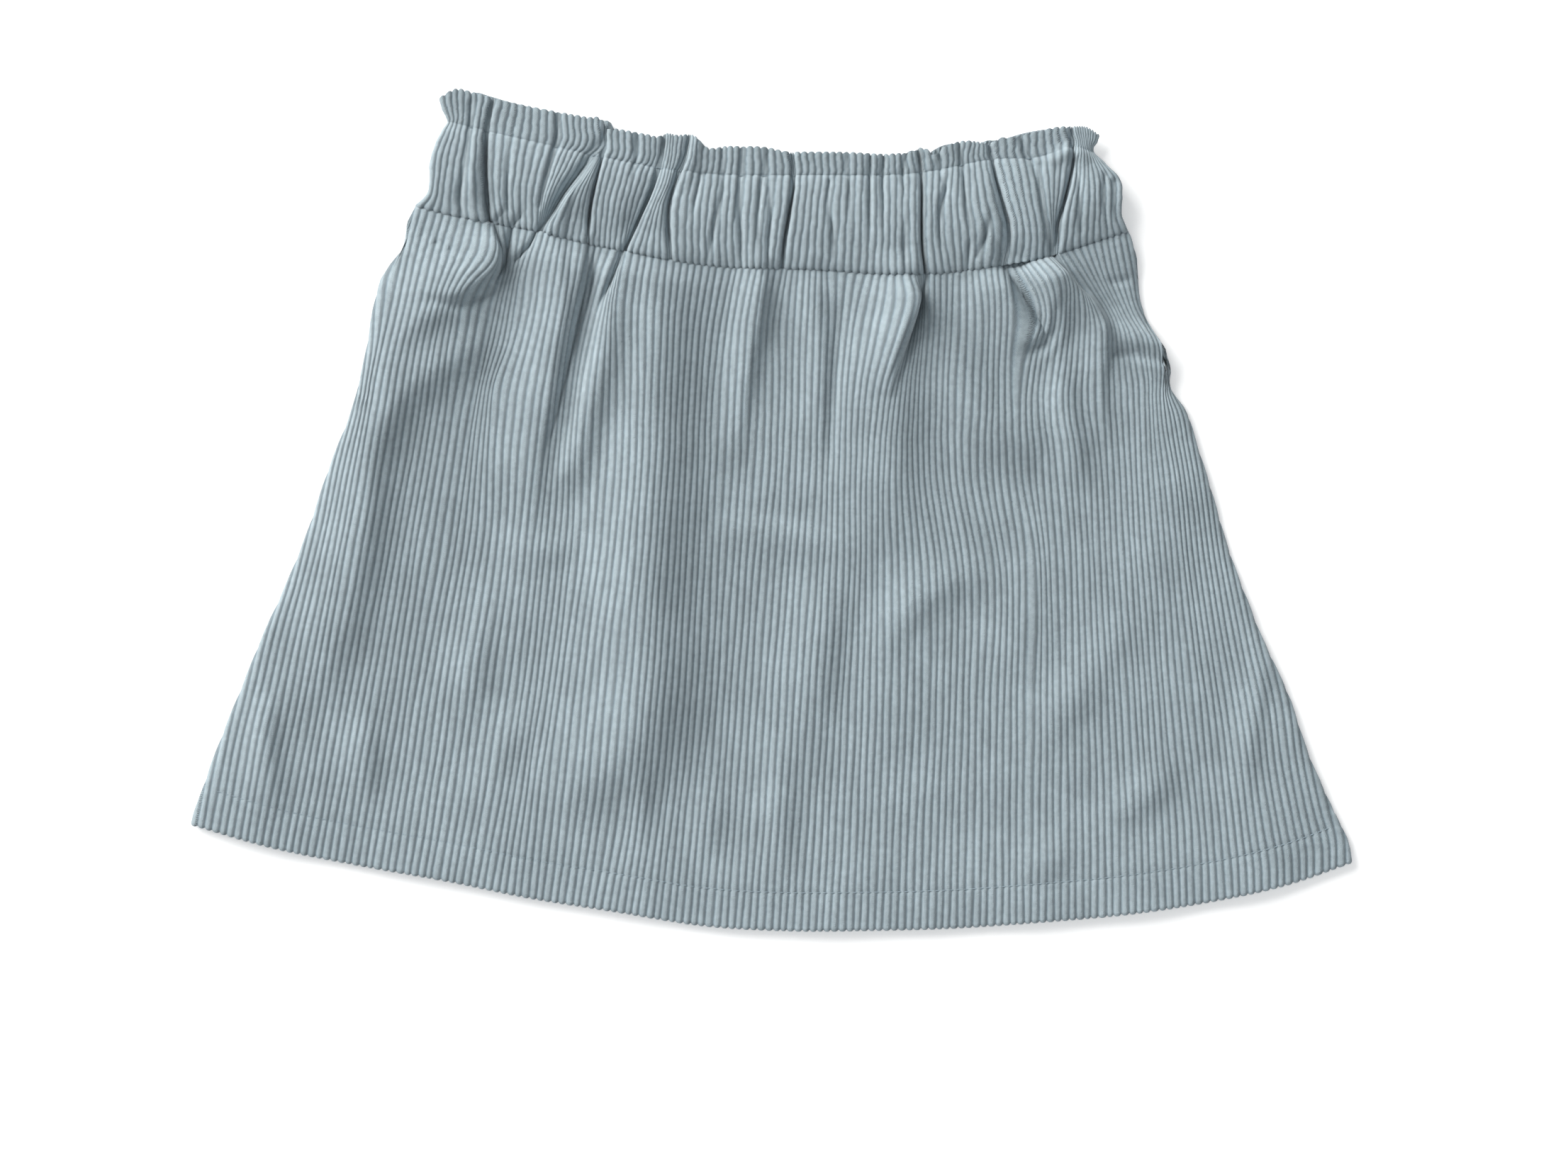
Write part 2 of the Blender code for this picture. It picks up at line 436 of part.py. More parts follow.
def panel_inside(across, down, x, z):
    """The height of the front panel's inside: one cloth below its outside, but clear of the back."""
    _, _, from_side, length = panel_place(across, down)
    hem = hem_share(length * (1 - down))
    back_rise = (BACK_HEM_TOP - BACK_TOP) * hem
    slope = np.gradient(z, axis=1) / np.maximum(np.gradient(x, axis=1), LEAST_STEP)
    upright = (CLOTH + HEM_LIFT * hem - back_rise) * np.minimum(np.hypot(1, slope), MOST_UPRIGHT)
    return np.maximum(z - upright, PANEL_UNDER + back_rise - UNDER_DROP * rolled(from_side))


def band_line(across, up):
    """How far along the skirt a point of the waistband lies: seam at 0, stitch row at 1, frill's edge at 2."""
    seam_y = through(SEAM, mix(SEAM[0].across, SEAM[-1].across, across)) + PARTING / 2
    stitch_y = through(STITCH_ROW, mix(STITCH_ROW[0].across, STITCH_ROW[-1].across, across))
    top_y = through(FRILL_TOP, mix(FRILL_TOP[0].across, FRILL_TOP[-1].across, across))
    return np.where(up < 1, mix(seam_y, stitch_y, up), mix(stitch_y, top_y, up - 1))


def band_place(across, up, inset=0.0):
    """Where a point of the waistband lies, and how far it is from an end."""
    left_x = through(BAND_LEFT, band_line(np.zeros(np.shape(up)), up)) + inset
    right_x = through(BAND_RIGHT, band_line(np.ones(np.shape(up)), up)) - inset
    x = mix(left_x, right_x, across)
    return x, band_line(across, up), np.minimum(x - left_x, right_x - x)


def band_surface(across, up):
    """The front waistband's outside without its wales, puffed over the elastic and pinched at its two seams."""
    x, y, from_end = band_place(across, up)
    seam_x, seam_y, _ = band_place(across, np.zeros(np.shape(up)))
    free = ease(up / SEAM_HOLD_SHARE)
    casing = mix(BAND_SEAM, BAND_STITCH, up) + BAND_PUFF * np.sqrt(np.sin(np.pi * np.clip(up, 0, 1)))
    level = np.where(up < 1, casing, mix(BAND_STITCH, FRILL_EDGE, up - 1))
    level = level + (1 - free) * SEAM_HOLD * fold_height(PANEL_FOLDS, seam_x, seam_y)
    folded = level + mix(SEAM_HOLD, 1, free) * fold_height(BAND_FOLDS, x, y)
    return x, y, np.maximum(folded, BAND_UNDER + BAND_LEAST) - ROLL_DROP * rolled(from_end)


def band_inside(across, up, z):
    """The plain inside of the casing, which follows the waves of the frill above it."""
    _, _, from_end = band_place(across, up)
    turned = rolled(from_end)
    frill = np.maximum(z + ROLL_DROP * turned - FRILL_CLOTH, BAND_UNDER)
    return mix(BAND_UNDER, frill, ease((up - 1) / FRILL_START)) - UNDER_DROP * turned


def patch_shares(place, points, most):
    """The two shares at which a patch has each of these points, found by stepping towards them."""
    wanted_x, wanted_y = np.array(points, float).T
    across, level = np.full((2, len(points)), 0.5)
    for _ in range(PLACE_STEPS):
        x, y = place(across, level)[:2]
        x_beside = place(across + LEAST_STEP, level)[0]
        y_beyond = place(across, level + LEAST_STEP)[1]
        across = np.clip(across + (wanted_x - x) * LEAST_STEP / (x_beside - x), 0, 1)
        level = np.clip(level + (wanted_y - y) * LEAST_STEP / (y_beyond - y), 0, most)
    return across, level


def guided(guides, place, rows):
    """The share across at which each guide lies in each row."""
    left_x = place(np.zeros(len(rows)), rows)[0]
    right_x = place(np.ones(len(rows)), rows)[0]
    lines = []
    for each in guides:
        _, level = patch_shares(place, each.path, rows[-1])
        order = np.argsort(level)
        x = through(np.stack([level, np.array(each.path)[:, 0]], axis=1)[order], rows)
        lines.append((x - left_x) / (right_x - left_x))
    return np.array(lines).reshape(len(guides), len(rows)).T


def wale_grid(guides, place, rows, starts, wales_at, wales):
    """Shares across and along for a grid whose columns follow the wales.

    A column starts at its wale's own start, on the side seam or the waist, and its rows are shares of the way
    from there to the last row.
    """
    reach = rows[-1]
    spacing_rows = np.linspace(0, reach, SPACING_ROWS)
    numbers = [each.wale for each in guides]
    shares = []
    for row, known in zip(spacing_rows, guided(guides, place, spacing_rows)):
        first, last = wales_at(row)
        shares.append(np.interp(wales, [first, *numbers, last], [0, *known, 1]))
    along = starts + (reach - starts) * (np.array(rows)[:, None] / reach)
    columns = [np.interp(places, spacing_rows, share) for places, share in zip(along.T, np.array(shares).T)]
    return np.array(columns).T, along


def panel_wales(down):
    """The first and last wale that reach this far up the A-line cut."""
    return LEFT_CORNER_WALES * (1 - down), HEM_WALES - RIGHT_CORNER_WALES * (1 - down)


def band_wales(_up):
    return 0, BAND_WALES


def ribbed(z):
    """The outside's heights with a ridge on every other column."""
    return z + RIB_HEIGHT * (np.arange(z.shape[1]) % 2)


def strays(under, start, end):
    """How far the inside's points between two columns lie off the straight cloth between them."""
    width = under[:, end, 0] - under[:, start, 0]
    share = (under[:, start:end, 0] - under[:, start, None, 0]) / np.maximum(width, LEAST_STEP)[:, None]
    straight = mix(under[:, start, None, 1:], under[:, end, None, 1:], share[:, :, None])
    return np.abs(straight - under[:, start:end, 1:]).max()


def plain_columns(under):
    """The fewest columns, each in a wale's valley, that follow the inside closely enough."""
    kept = [0]
    for end in range(4, under.shape[1], 2):
        if strays(under, kept[-1], end) > PLAIN_STRAY:
            kept.append(end - 2)
    return kept + [under.shape[1] - 1]


def wall(name, top, under, kept, colour):
    """One closed piece of cloth from its outside, its inside and the columns that the inside keeps."""
    bm = bmesh.new()
    outer = [[bm.verts.new(point * MM) for point in row] for row in top]
    inner = [[bm.verts.new(row[column] * MM) for column in kept] for row in under]
    for row in range(len(outer) - 1):
        above, below = outer[row], outer[row + 1]
        for left in range(len(above) - 1):
            bm.faces.new((above[left], below[left], below[left + 1], above[left + 1]))
        above, below = inner[row], inner[row + 1]
        for left in range(len(above) - 1):
            bm.faces.new((above[left], above[left + 1], below[left + 1], below[left]))
        bm.faces.new((outer[row][0], above[0], below[0], outer[row + 1][0]))
        bm.faces.new((outer[row][-1], outer[row + 1][-1], below[-1], above[-1]))
    for left, (start, end) in enumerate(zip(kept[:-1], kept[1:])):
        first_rim = outer[0][start : end + 1] + [inner[0][left + 1], inner[0][left]]
        last_rim = outer[-1][start : end + 1] + [inner[-1][left + 1], inner[-1][left]]
        bm.faces.new(first_rim)
        bm.faces.new(last_rim[::-1])
    mesh = bpy.data.meshes.new(name)
    bm.normal_update()
    bm.to_mesh(mesh)
    bm.free()
    mesh.materials.append(corduroy(name + "_cloth", colour))
    piece = bpy.data.objects.new(name, mesh)
    bpy.context.scene.collection.objects.link(piece)
    return piece


def corduroy(name, colour):
    material = bpy.data.materials.new(name)
    material.use_nodes = True
    shader = material.node_tree.nodes["Principled BSDF"]
    shader.inputs["Base Color"].default_value = colour
    shader.inputs["Roughness"].default_value = CLOTH_ROUGHNESS
    shader.inputs["Metallic"].default_value = 0.0
    return material


def front_panel():
    wales = np.arange(0, HEM_WALES + 0.5, 0.5)
    left = (LEFT_CORNER_WALES - wales) / LEFT_CORNER_WALES
    right = (wales - HEM_WALES + RIGHT_CORNER_WALES) / RIGHT_CORNER_WALES
    starts = np.clip(np.maximum(left, right), 0, LAST_START)
    across, down = wale_grid(PANEL_GUIDES, panel_place, PANEL_ROWS, starts, panel_wales, wales)
    x, y, z = panel_surface(across, down)
    under = np.stack([x, y, panel_inside(across, down, x, z)], axis=2)
    return wall("front_panel", np.stack([x, y, ribbed(z)], axis=2), under, plain_columns(under), FRONT_COLOUR)


def front_waistband():
    wales = np.arange(0, BAND_WALES + 0.5, 0.5)
    across, up = wale_grid(BAND_GUIDES, band_place, BAND_ROWS, np.zeros(len(wales)), band_wales, wales)
    x, y, z = band_surface(across, up)
    # The rows run up from the seam, so they are turned round to face the same way as the panel's
    top = np.stack([x, y, ribbed(z)], axis=2)[::-1]
    under = np.stack([x, y, band_inside(across, up, z)], axis=2)[::-1]
    return wall("front_waistband", top, under, plain_columns(under), FRONT_COLOUR)


def back_panel():
    across, down = np.meshgrid(np.linspace(0, 1, BACK_COLUMNS + 1), BACK_ROWS)
    x, y, _, length = panel_place(across, down, BACK_INSET)
    y = y + BACK_HEM_INSET * down
    top = np.stack([x, y, mix(BACK_TOP, BACK_HEM_TOP, hem_share(length * (1 - down)))], axis=2)
    under = np.stack([x, y, np.zeros(np.shape(x))], axis=2)
    return wall("back_panel", top, under, list(range(BACK_COLUMNS + 1)), BACK_COLOUR)


def back_waistband():
    across, up = np.meshgrid(np.linspace(0, 1, BACK_BAND_COLUMNS + 1), BACK_BAND_ROWS)
    x, y, _ = band_place(across, up, BACK_INSET)
    frill = ease(up - 1)
    wave = BACK_FRILL_WAVE / 2 * (1 - np.cos(2 * np.pi * BACK_FRILL_WAVES * across)) * frill
    under = np.stack([x, y, wave], axis=2)
    top = np.stack([x, y, mix(BACK_BAND_TOP, wave + BACK_FRILL_CLOTH, frill)], axis=2)
    return wall("back_waistband", top[::-1], under[::-1], list(range(BACK_BAND_COLUMNS + 1)), BACK_COLOUR)


def main():
    for old in list(bpy.data.objects):
        bpy.data.objects.remove(old)
    back_panel()
    back_waistband()
    front_panel()
    front_waistband()


main()
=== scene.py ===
"""Corduroy skirt laid flat, front up: its four sewn pieces, their stitching, the floor, light and camera.

Sizes in the tables are millimetres, in the skirt's own frame: +X across, +Y towards the waist, +Z up.
"""

import math
from typing import NamedTuple

import bmesh
import bpy
import numpy as np
from mathutils import Matrix, Vector


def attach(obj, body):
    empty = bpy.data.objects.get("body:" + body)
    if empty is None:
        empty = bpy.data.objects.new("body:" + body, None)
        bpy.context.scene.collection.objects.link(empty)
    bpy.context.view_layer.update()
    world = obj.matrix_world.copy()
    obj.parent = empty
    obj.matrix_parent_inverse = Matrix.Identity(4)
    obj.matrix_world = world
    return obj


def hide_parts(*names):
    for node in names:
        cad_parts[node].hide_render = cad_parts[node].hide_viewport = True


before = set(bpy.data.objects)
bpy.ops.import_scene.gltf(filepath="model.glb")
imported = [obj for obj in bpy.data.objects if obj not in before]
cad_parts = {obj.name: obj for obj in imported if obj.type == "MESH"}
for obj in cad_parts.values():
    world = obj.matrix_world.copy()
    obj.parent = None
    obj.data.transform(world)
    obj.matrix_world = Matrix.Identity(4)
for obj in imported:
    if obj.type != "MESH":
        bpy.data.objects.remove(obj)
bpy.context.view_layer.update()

MM = 0.001

# Cloth
WALE = 2.78
RIB_HEIGHT = 0.46
RIB_ROUNDNESS = 0.7
TUFT = 0.8
CLOTH = 1.2
THREAD_RADIUS = 0.22
THREAD_LIFT = 0.3
STITCH_SHARE = 0.82
STITCH_MARGIN = 3
HEM_WALES = 157
LEFT_CORNER_WALES = 14
RIGHT_CORNER_WALES = 18.5
BAND_WALES = 133

# Heights above the surface
PANEL_UNDER = 1.8
PANEL_TOP = PANEL_UNDER + CLOTH
HEM_LIFT = 1.0
HEM_DEPTH = 14.0
HEM_SLOPE = 26.0
SEAM_LIFT = 1.6
SEAM_LIFT_REACH = 14.0
BAND_UNDER = 3.6
BAND_LEAST = 0.4
PANEL_LEAST = 2.1
SEAM_STEP = 0.3
BAND_SEAM = PANEL_TOP + SEAM_LIFT + SEAM_STEP
BAND_STITCH = 5.2
BAND_PUFF = 3.6
PUFF_ROUNDNESS = 0.65
FRILL_EDGE = 6.0
BACK_VALLEY = 0.7
BACK_RIM = 0.6
BACK_CREASE = 0.5
BACK_PANEL_PRESS = 0.12
BACK_BAND_PRESS = -0.25
BACK_FRILL_WAVE = 1.2
BACK_FRILL_WAVES = 15

# Edges and partings
PARTING = 0.1
ROLL_RADIUS = 3.5
ROLL_DROP = 1.7
EDGE_RADIUS = 0.7
SEAM_RADIUS = 0.5
BACK_INSET = 7.0
BACK_HEM_INSET = 1.0
SEAM_HOLD = 0.45
SEAM_HOLD_REACH = 10.0
SEAM_HOLD_SHARE = 0.3
SEAM_LEAN_REACH = 4.0
GROOVE_DEPTH = 0.18
GROOVE_WIDTH = 0.8
CRIMP_WIDTH = 1.2
FRILL_SERRATION = 0.9
HEM_SERRATION = 0.5
SEAM_SERRATION = 0.5
SERRATED_FRILL = 0.1
SERRATED_HEM = 0.01
SERRATED_SEAM = 0.03

# Sampling
FOLD_SAMPLES = 4
SPACING_ROWS = 80
PLACE_STEPS = 30
PANEL_RIB_COLUMNS = (0, 0.14, 0.33, 0.66, 0.85)
BAND_RIB_COLUMNS = (0, 0.13, 0.3, 0.5, 0.7, 0.87)
BACK_RIB_COLUMNS = (0, 0.15, 0.5, 0.85)
HEM_ROWS_START = 0.92
LAST_START = 0.985
LIP_ROWS = 6
LIP_COLUMNS = 8
LEAST_STEP = 1e-3
FRONT_PANEL_SEED = 11
FRONT_BAND_SEED = 12
BACK_PANEL_SEED = 13
BACK_BAND_SEED = 14
SWELL_SEED = 21

# Colour and pile
# The valleys' colour is darker and bluer than the wale tops': partly the bare ground cloth between the
# wales, partly painted shade in the valleys. The painted valley shade fades out by VALLEY_FADE of the way
# from valley to wale top.
VALLEY_COLOUR_WITH_PAINTED_SHADE = (0.274, 0.344, 0.386)
WALE_COLOUR = (0.332, 0.396, 0.429)
THREAD_COLOUR = (0.27, 0.34, 0.385)
VALLEY_FADE = 0.55
# The next four values paint shade onto the right flank of each wale, the side turned from the window, as
# dark tuft ticks: where the shaded flank starts, where it thins at the valley, how much stays there, and how
# dark the ticks get.
SHADED_FLANK = (0.5, 0.72)
FLANK_FOOT = (0.9, 1.0)
FOOT_SHARE = 0.4
PAINTED_TICK_SHADE = 0.6
TUFT_SLANT = 0.8
TUFT_RAGGEDNESS = 1.6
WALE_RAGGEDNESS = 0.35
TICK_RELIEF = 0.8
PILE_HEIGHT = 0.2

# Camera, floor and light
PIXEL = 0.27 * MM
PHOTO_WIDTH = 2212
PHOTO_TURN = math.radians(2.06)
PHOTO_MIDDLE = Vector((1.25, -27.83, 0)) * MM
LENS = 85
SENSOR = 36
CLOTH_LEVEL = 4 * MM
FLOOR_REACH = 8
FLOOR_GLOW = 0.3
SKY_COLOUR = (0.95, 0.98, 1, 1)
SKY_STRENGTH = 0.47


class EdgePoint(NamedTuple):
    along: float
    across: float


class LinePoint(NamedTuple):
    across: float
    along: float


class RowSpan(NamedTuple):
    end: float
    rows: int


class FoldPoint(NamedTuple):
    across: float
    along: float
    height: float


class Guide(NamedTuple):
    wale: float
    path: tuple


class Stray(NamedTuple):
    size: float
    waves: float


class Swell(NamedTuple):
    length: float
    height: float


class Fold(NamedTuple):
    name: str
    up_left: float
    down_right: float
    lean: float
    path: tuple


class Noise(NamedTuple):
    grain: float
    detail: float
    stretch: tuple = (1, 1, 1)


class Mottle(NamedTuple):
    noise: Noise
    low: float
    high: float
    darkest: float
    brightest: float


def table(kind, *rows):
    """Rows of values, each as a named tuple of this kind."""
    return tuple(kind(*row) for row in rows)


def guide(wale, *points):
    """Where one wale runs, from the waist seam on. Wales are spread evenly between guides."""
    return Guide(wale, table(LinePoint, *points))


def fold(name, up_left, down_right, *points, lean=0):
    """A ridge, or a valley where the height is negative.

    It has a width on the upper left and one on the lower right, and its top leans over to the lower right.
    """
    return Fold(name, up_left, down_right, lean, table(FoldPoint, *points))


def crimp(*points):
    """A narrow, shallow crease that the elastic draws the casing into."""
    return fold("crimp", CRIMP_WIDTH, CRIMP_WIDTH, *points)


# Columns: end, rows. Each span starts at the end of the one before it, the first at 0.
PANEL_ROW_SPANS = table(
    RowSpan, (0.008, 3), (0.24, 42), (0.5, 26), (0.92, 28), (0.936, 2), (0.952, 7), (0.993, 5), (1.0, 4),
)
BAND_ROW_SPANS = table(RowSpan, (0.05, 4), (0.93, 38), (1.1, 10), (1.985, 14), (2.0, 1))
BACK_ROW_SPANS = table(RowSpan, (0.92, 45), (0.96, 8), (1.0, 3))
BACK_BAND_ROW_SPANS = table(RowSpan, (1.0, 20), (2.0, 10))

# Columns: size in wales, waves from end to end in radians
STRAYS = table(Stray, (0.05, 6.3), (0.045, 17.0), (0.035, 41.0))

# Columns: metres across a patch, detail, stretch
WALE_NOISE = Noise(0.0007, 1)
TUFT_NOISE = Noise(0.0018, 2)
PILE_NOISE = Noise(0.0004, 3)

# Columns: noise, its values at the darkest and at the brightest, shades there
NAP = Mottle(Noise(0.016, 3), 0.3, 0.7, 0.95, 1.05)
FINE_NAP = Mottle(Noise(0.0022, 4), 0.25, 0.75, 0.91, 1.09)
STREAKS = Mottle(Noise(0.003, 2, (1, 0.12, 1)), 0.3, 0.7, 0.94, 1.06)
THREAD_TWIST = Mottle(Noise(0.0006, 2), 0.3, 0.7, 0.8, 1.1)

# Columns: length of a wave, height
SWELLS = table(
    Swell,
    (24, 0.07), (27, 0.07), (31, 0.09), (34, 0.09), (38, 0.11), (43, 0.11),
    (48, 0.13), (55, 0.14), (63, 0.15), (74, 0.17), (88, 0.19), (105, 0.2),
)

# Columns: along, across
LEFT_EDGE = table(
    EdgePoint,
    (-125.5, -221.7), (-98, -213), (-76, -205), (-54, -197), (-32, -188), (-10, -180), (12, -173.5),
    (34, -165.5), (55, -161), (77, -158), (85, -156), (92, -151.5), (97, -148), (106, -147.5),
    (113, -144.6),
)
RIGHT_EDGE = table(
    EdgePoint,
    (-124, 221.7), (-115, 219), (-104, 213), (-83, 203), (-62, 195), (-40, 184), (-19, 175), (-8, 170.5),
    (13, 163.5), (34, 156), (45, 152), (54, 145.5), (61, 145.2), (67, 143.2), (77, 136), (84, 133.5),
    (94, 131.8), (104.4, 130.6), (113, 127.6),
)
BAND_LEFT = table(
    EdgePoint,
    (112.7, -144.6), (117, -140), (121, -139.2), (129, -139), (137, -137), (141.5, -135), (145, -133.4),
    (149.5, -135.4), (154, -137),
)
BAND_RIGHT = table(
    EdgePoint,
    (113, 127.6), (117.5, 124.9), (125.6, 124.4), (132.6, 123), (138.1, 117.4), (143.7, 113),
    (146.5, 114.6), (148.9, 115.2),
)

# Columns: across, along
HEM = table(
    LinePoint,
    (-221.7, -125.5), (-189, -133.5), (-156, -139), (-124, -143.5), (-91, -149), (-58, -153), (-26, -157),
    (6, -157.8), (39, -156.5), (71, -154.5), (104, -151), (136, -147), (168, -141), (200, -132.5),
    (221.7, -124),
)
SEAM = table(
    LinePoint,
    (-144.6, 112.7), (-126, 108.7), (-113, 106.8), (-96, 104.3), (-81, 101), (-64, 98.2), (-46, 95.4),
    (-21, 93.6), (5, 94), (45, 93.3), (62, 95), (83, 98.8), (97, 102), (107, 105.5), (122, 111),
    (127.6, 113),
)
STITCH_ROW = table(
    LinePoint,
    (-133.4, 145), (-114.5, 141), (-93, 137), (-71, 133), (-37, 128.8), (7, 129.5), (48, 132), (75, 138),
    (92, 139.5), (98, 141.3), (103, 143.4), (107, 144), (109.5, 143), (113.2, 142),
)
FRILL_TOP = table(
    LinePoint,
    (-137, 153), (-131, 156.6), (-124, 155.6), (-115, 153.4), (-102, 151), (-91, 149.3), (-80, 147.7),
    (-74.6, 146.8), (-72.8, 144), (-69, 143.7), (-58, 142.2), (-52.5, 141.6), (-50.5, 142.6), (-46, 142.2),
    (-38.6, 141.7), (-36, 138.9), (-26, 138.7), (-10.5, 138.6), (-4, 137.4), (4, 137.6), (17, 138),
    (39, 138.3), (44.5, 139.2), (47, 140.8), (49.5, 140.2), (52.5, 138.2), (55.5, 140.8), (58, 142.3),
    (70.5, 143.5), (73, 143), (76, 145), (82, 146), (93, 149), (99, 150.4), (105, 150.9), (110, 150.8),
    (115, 148),
)

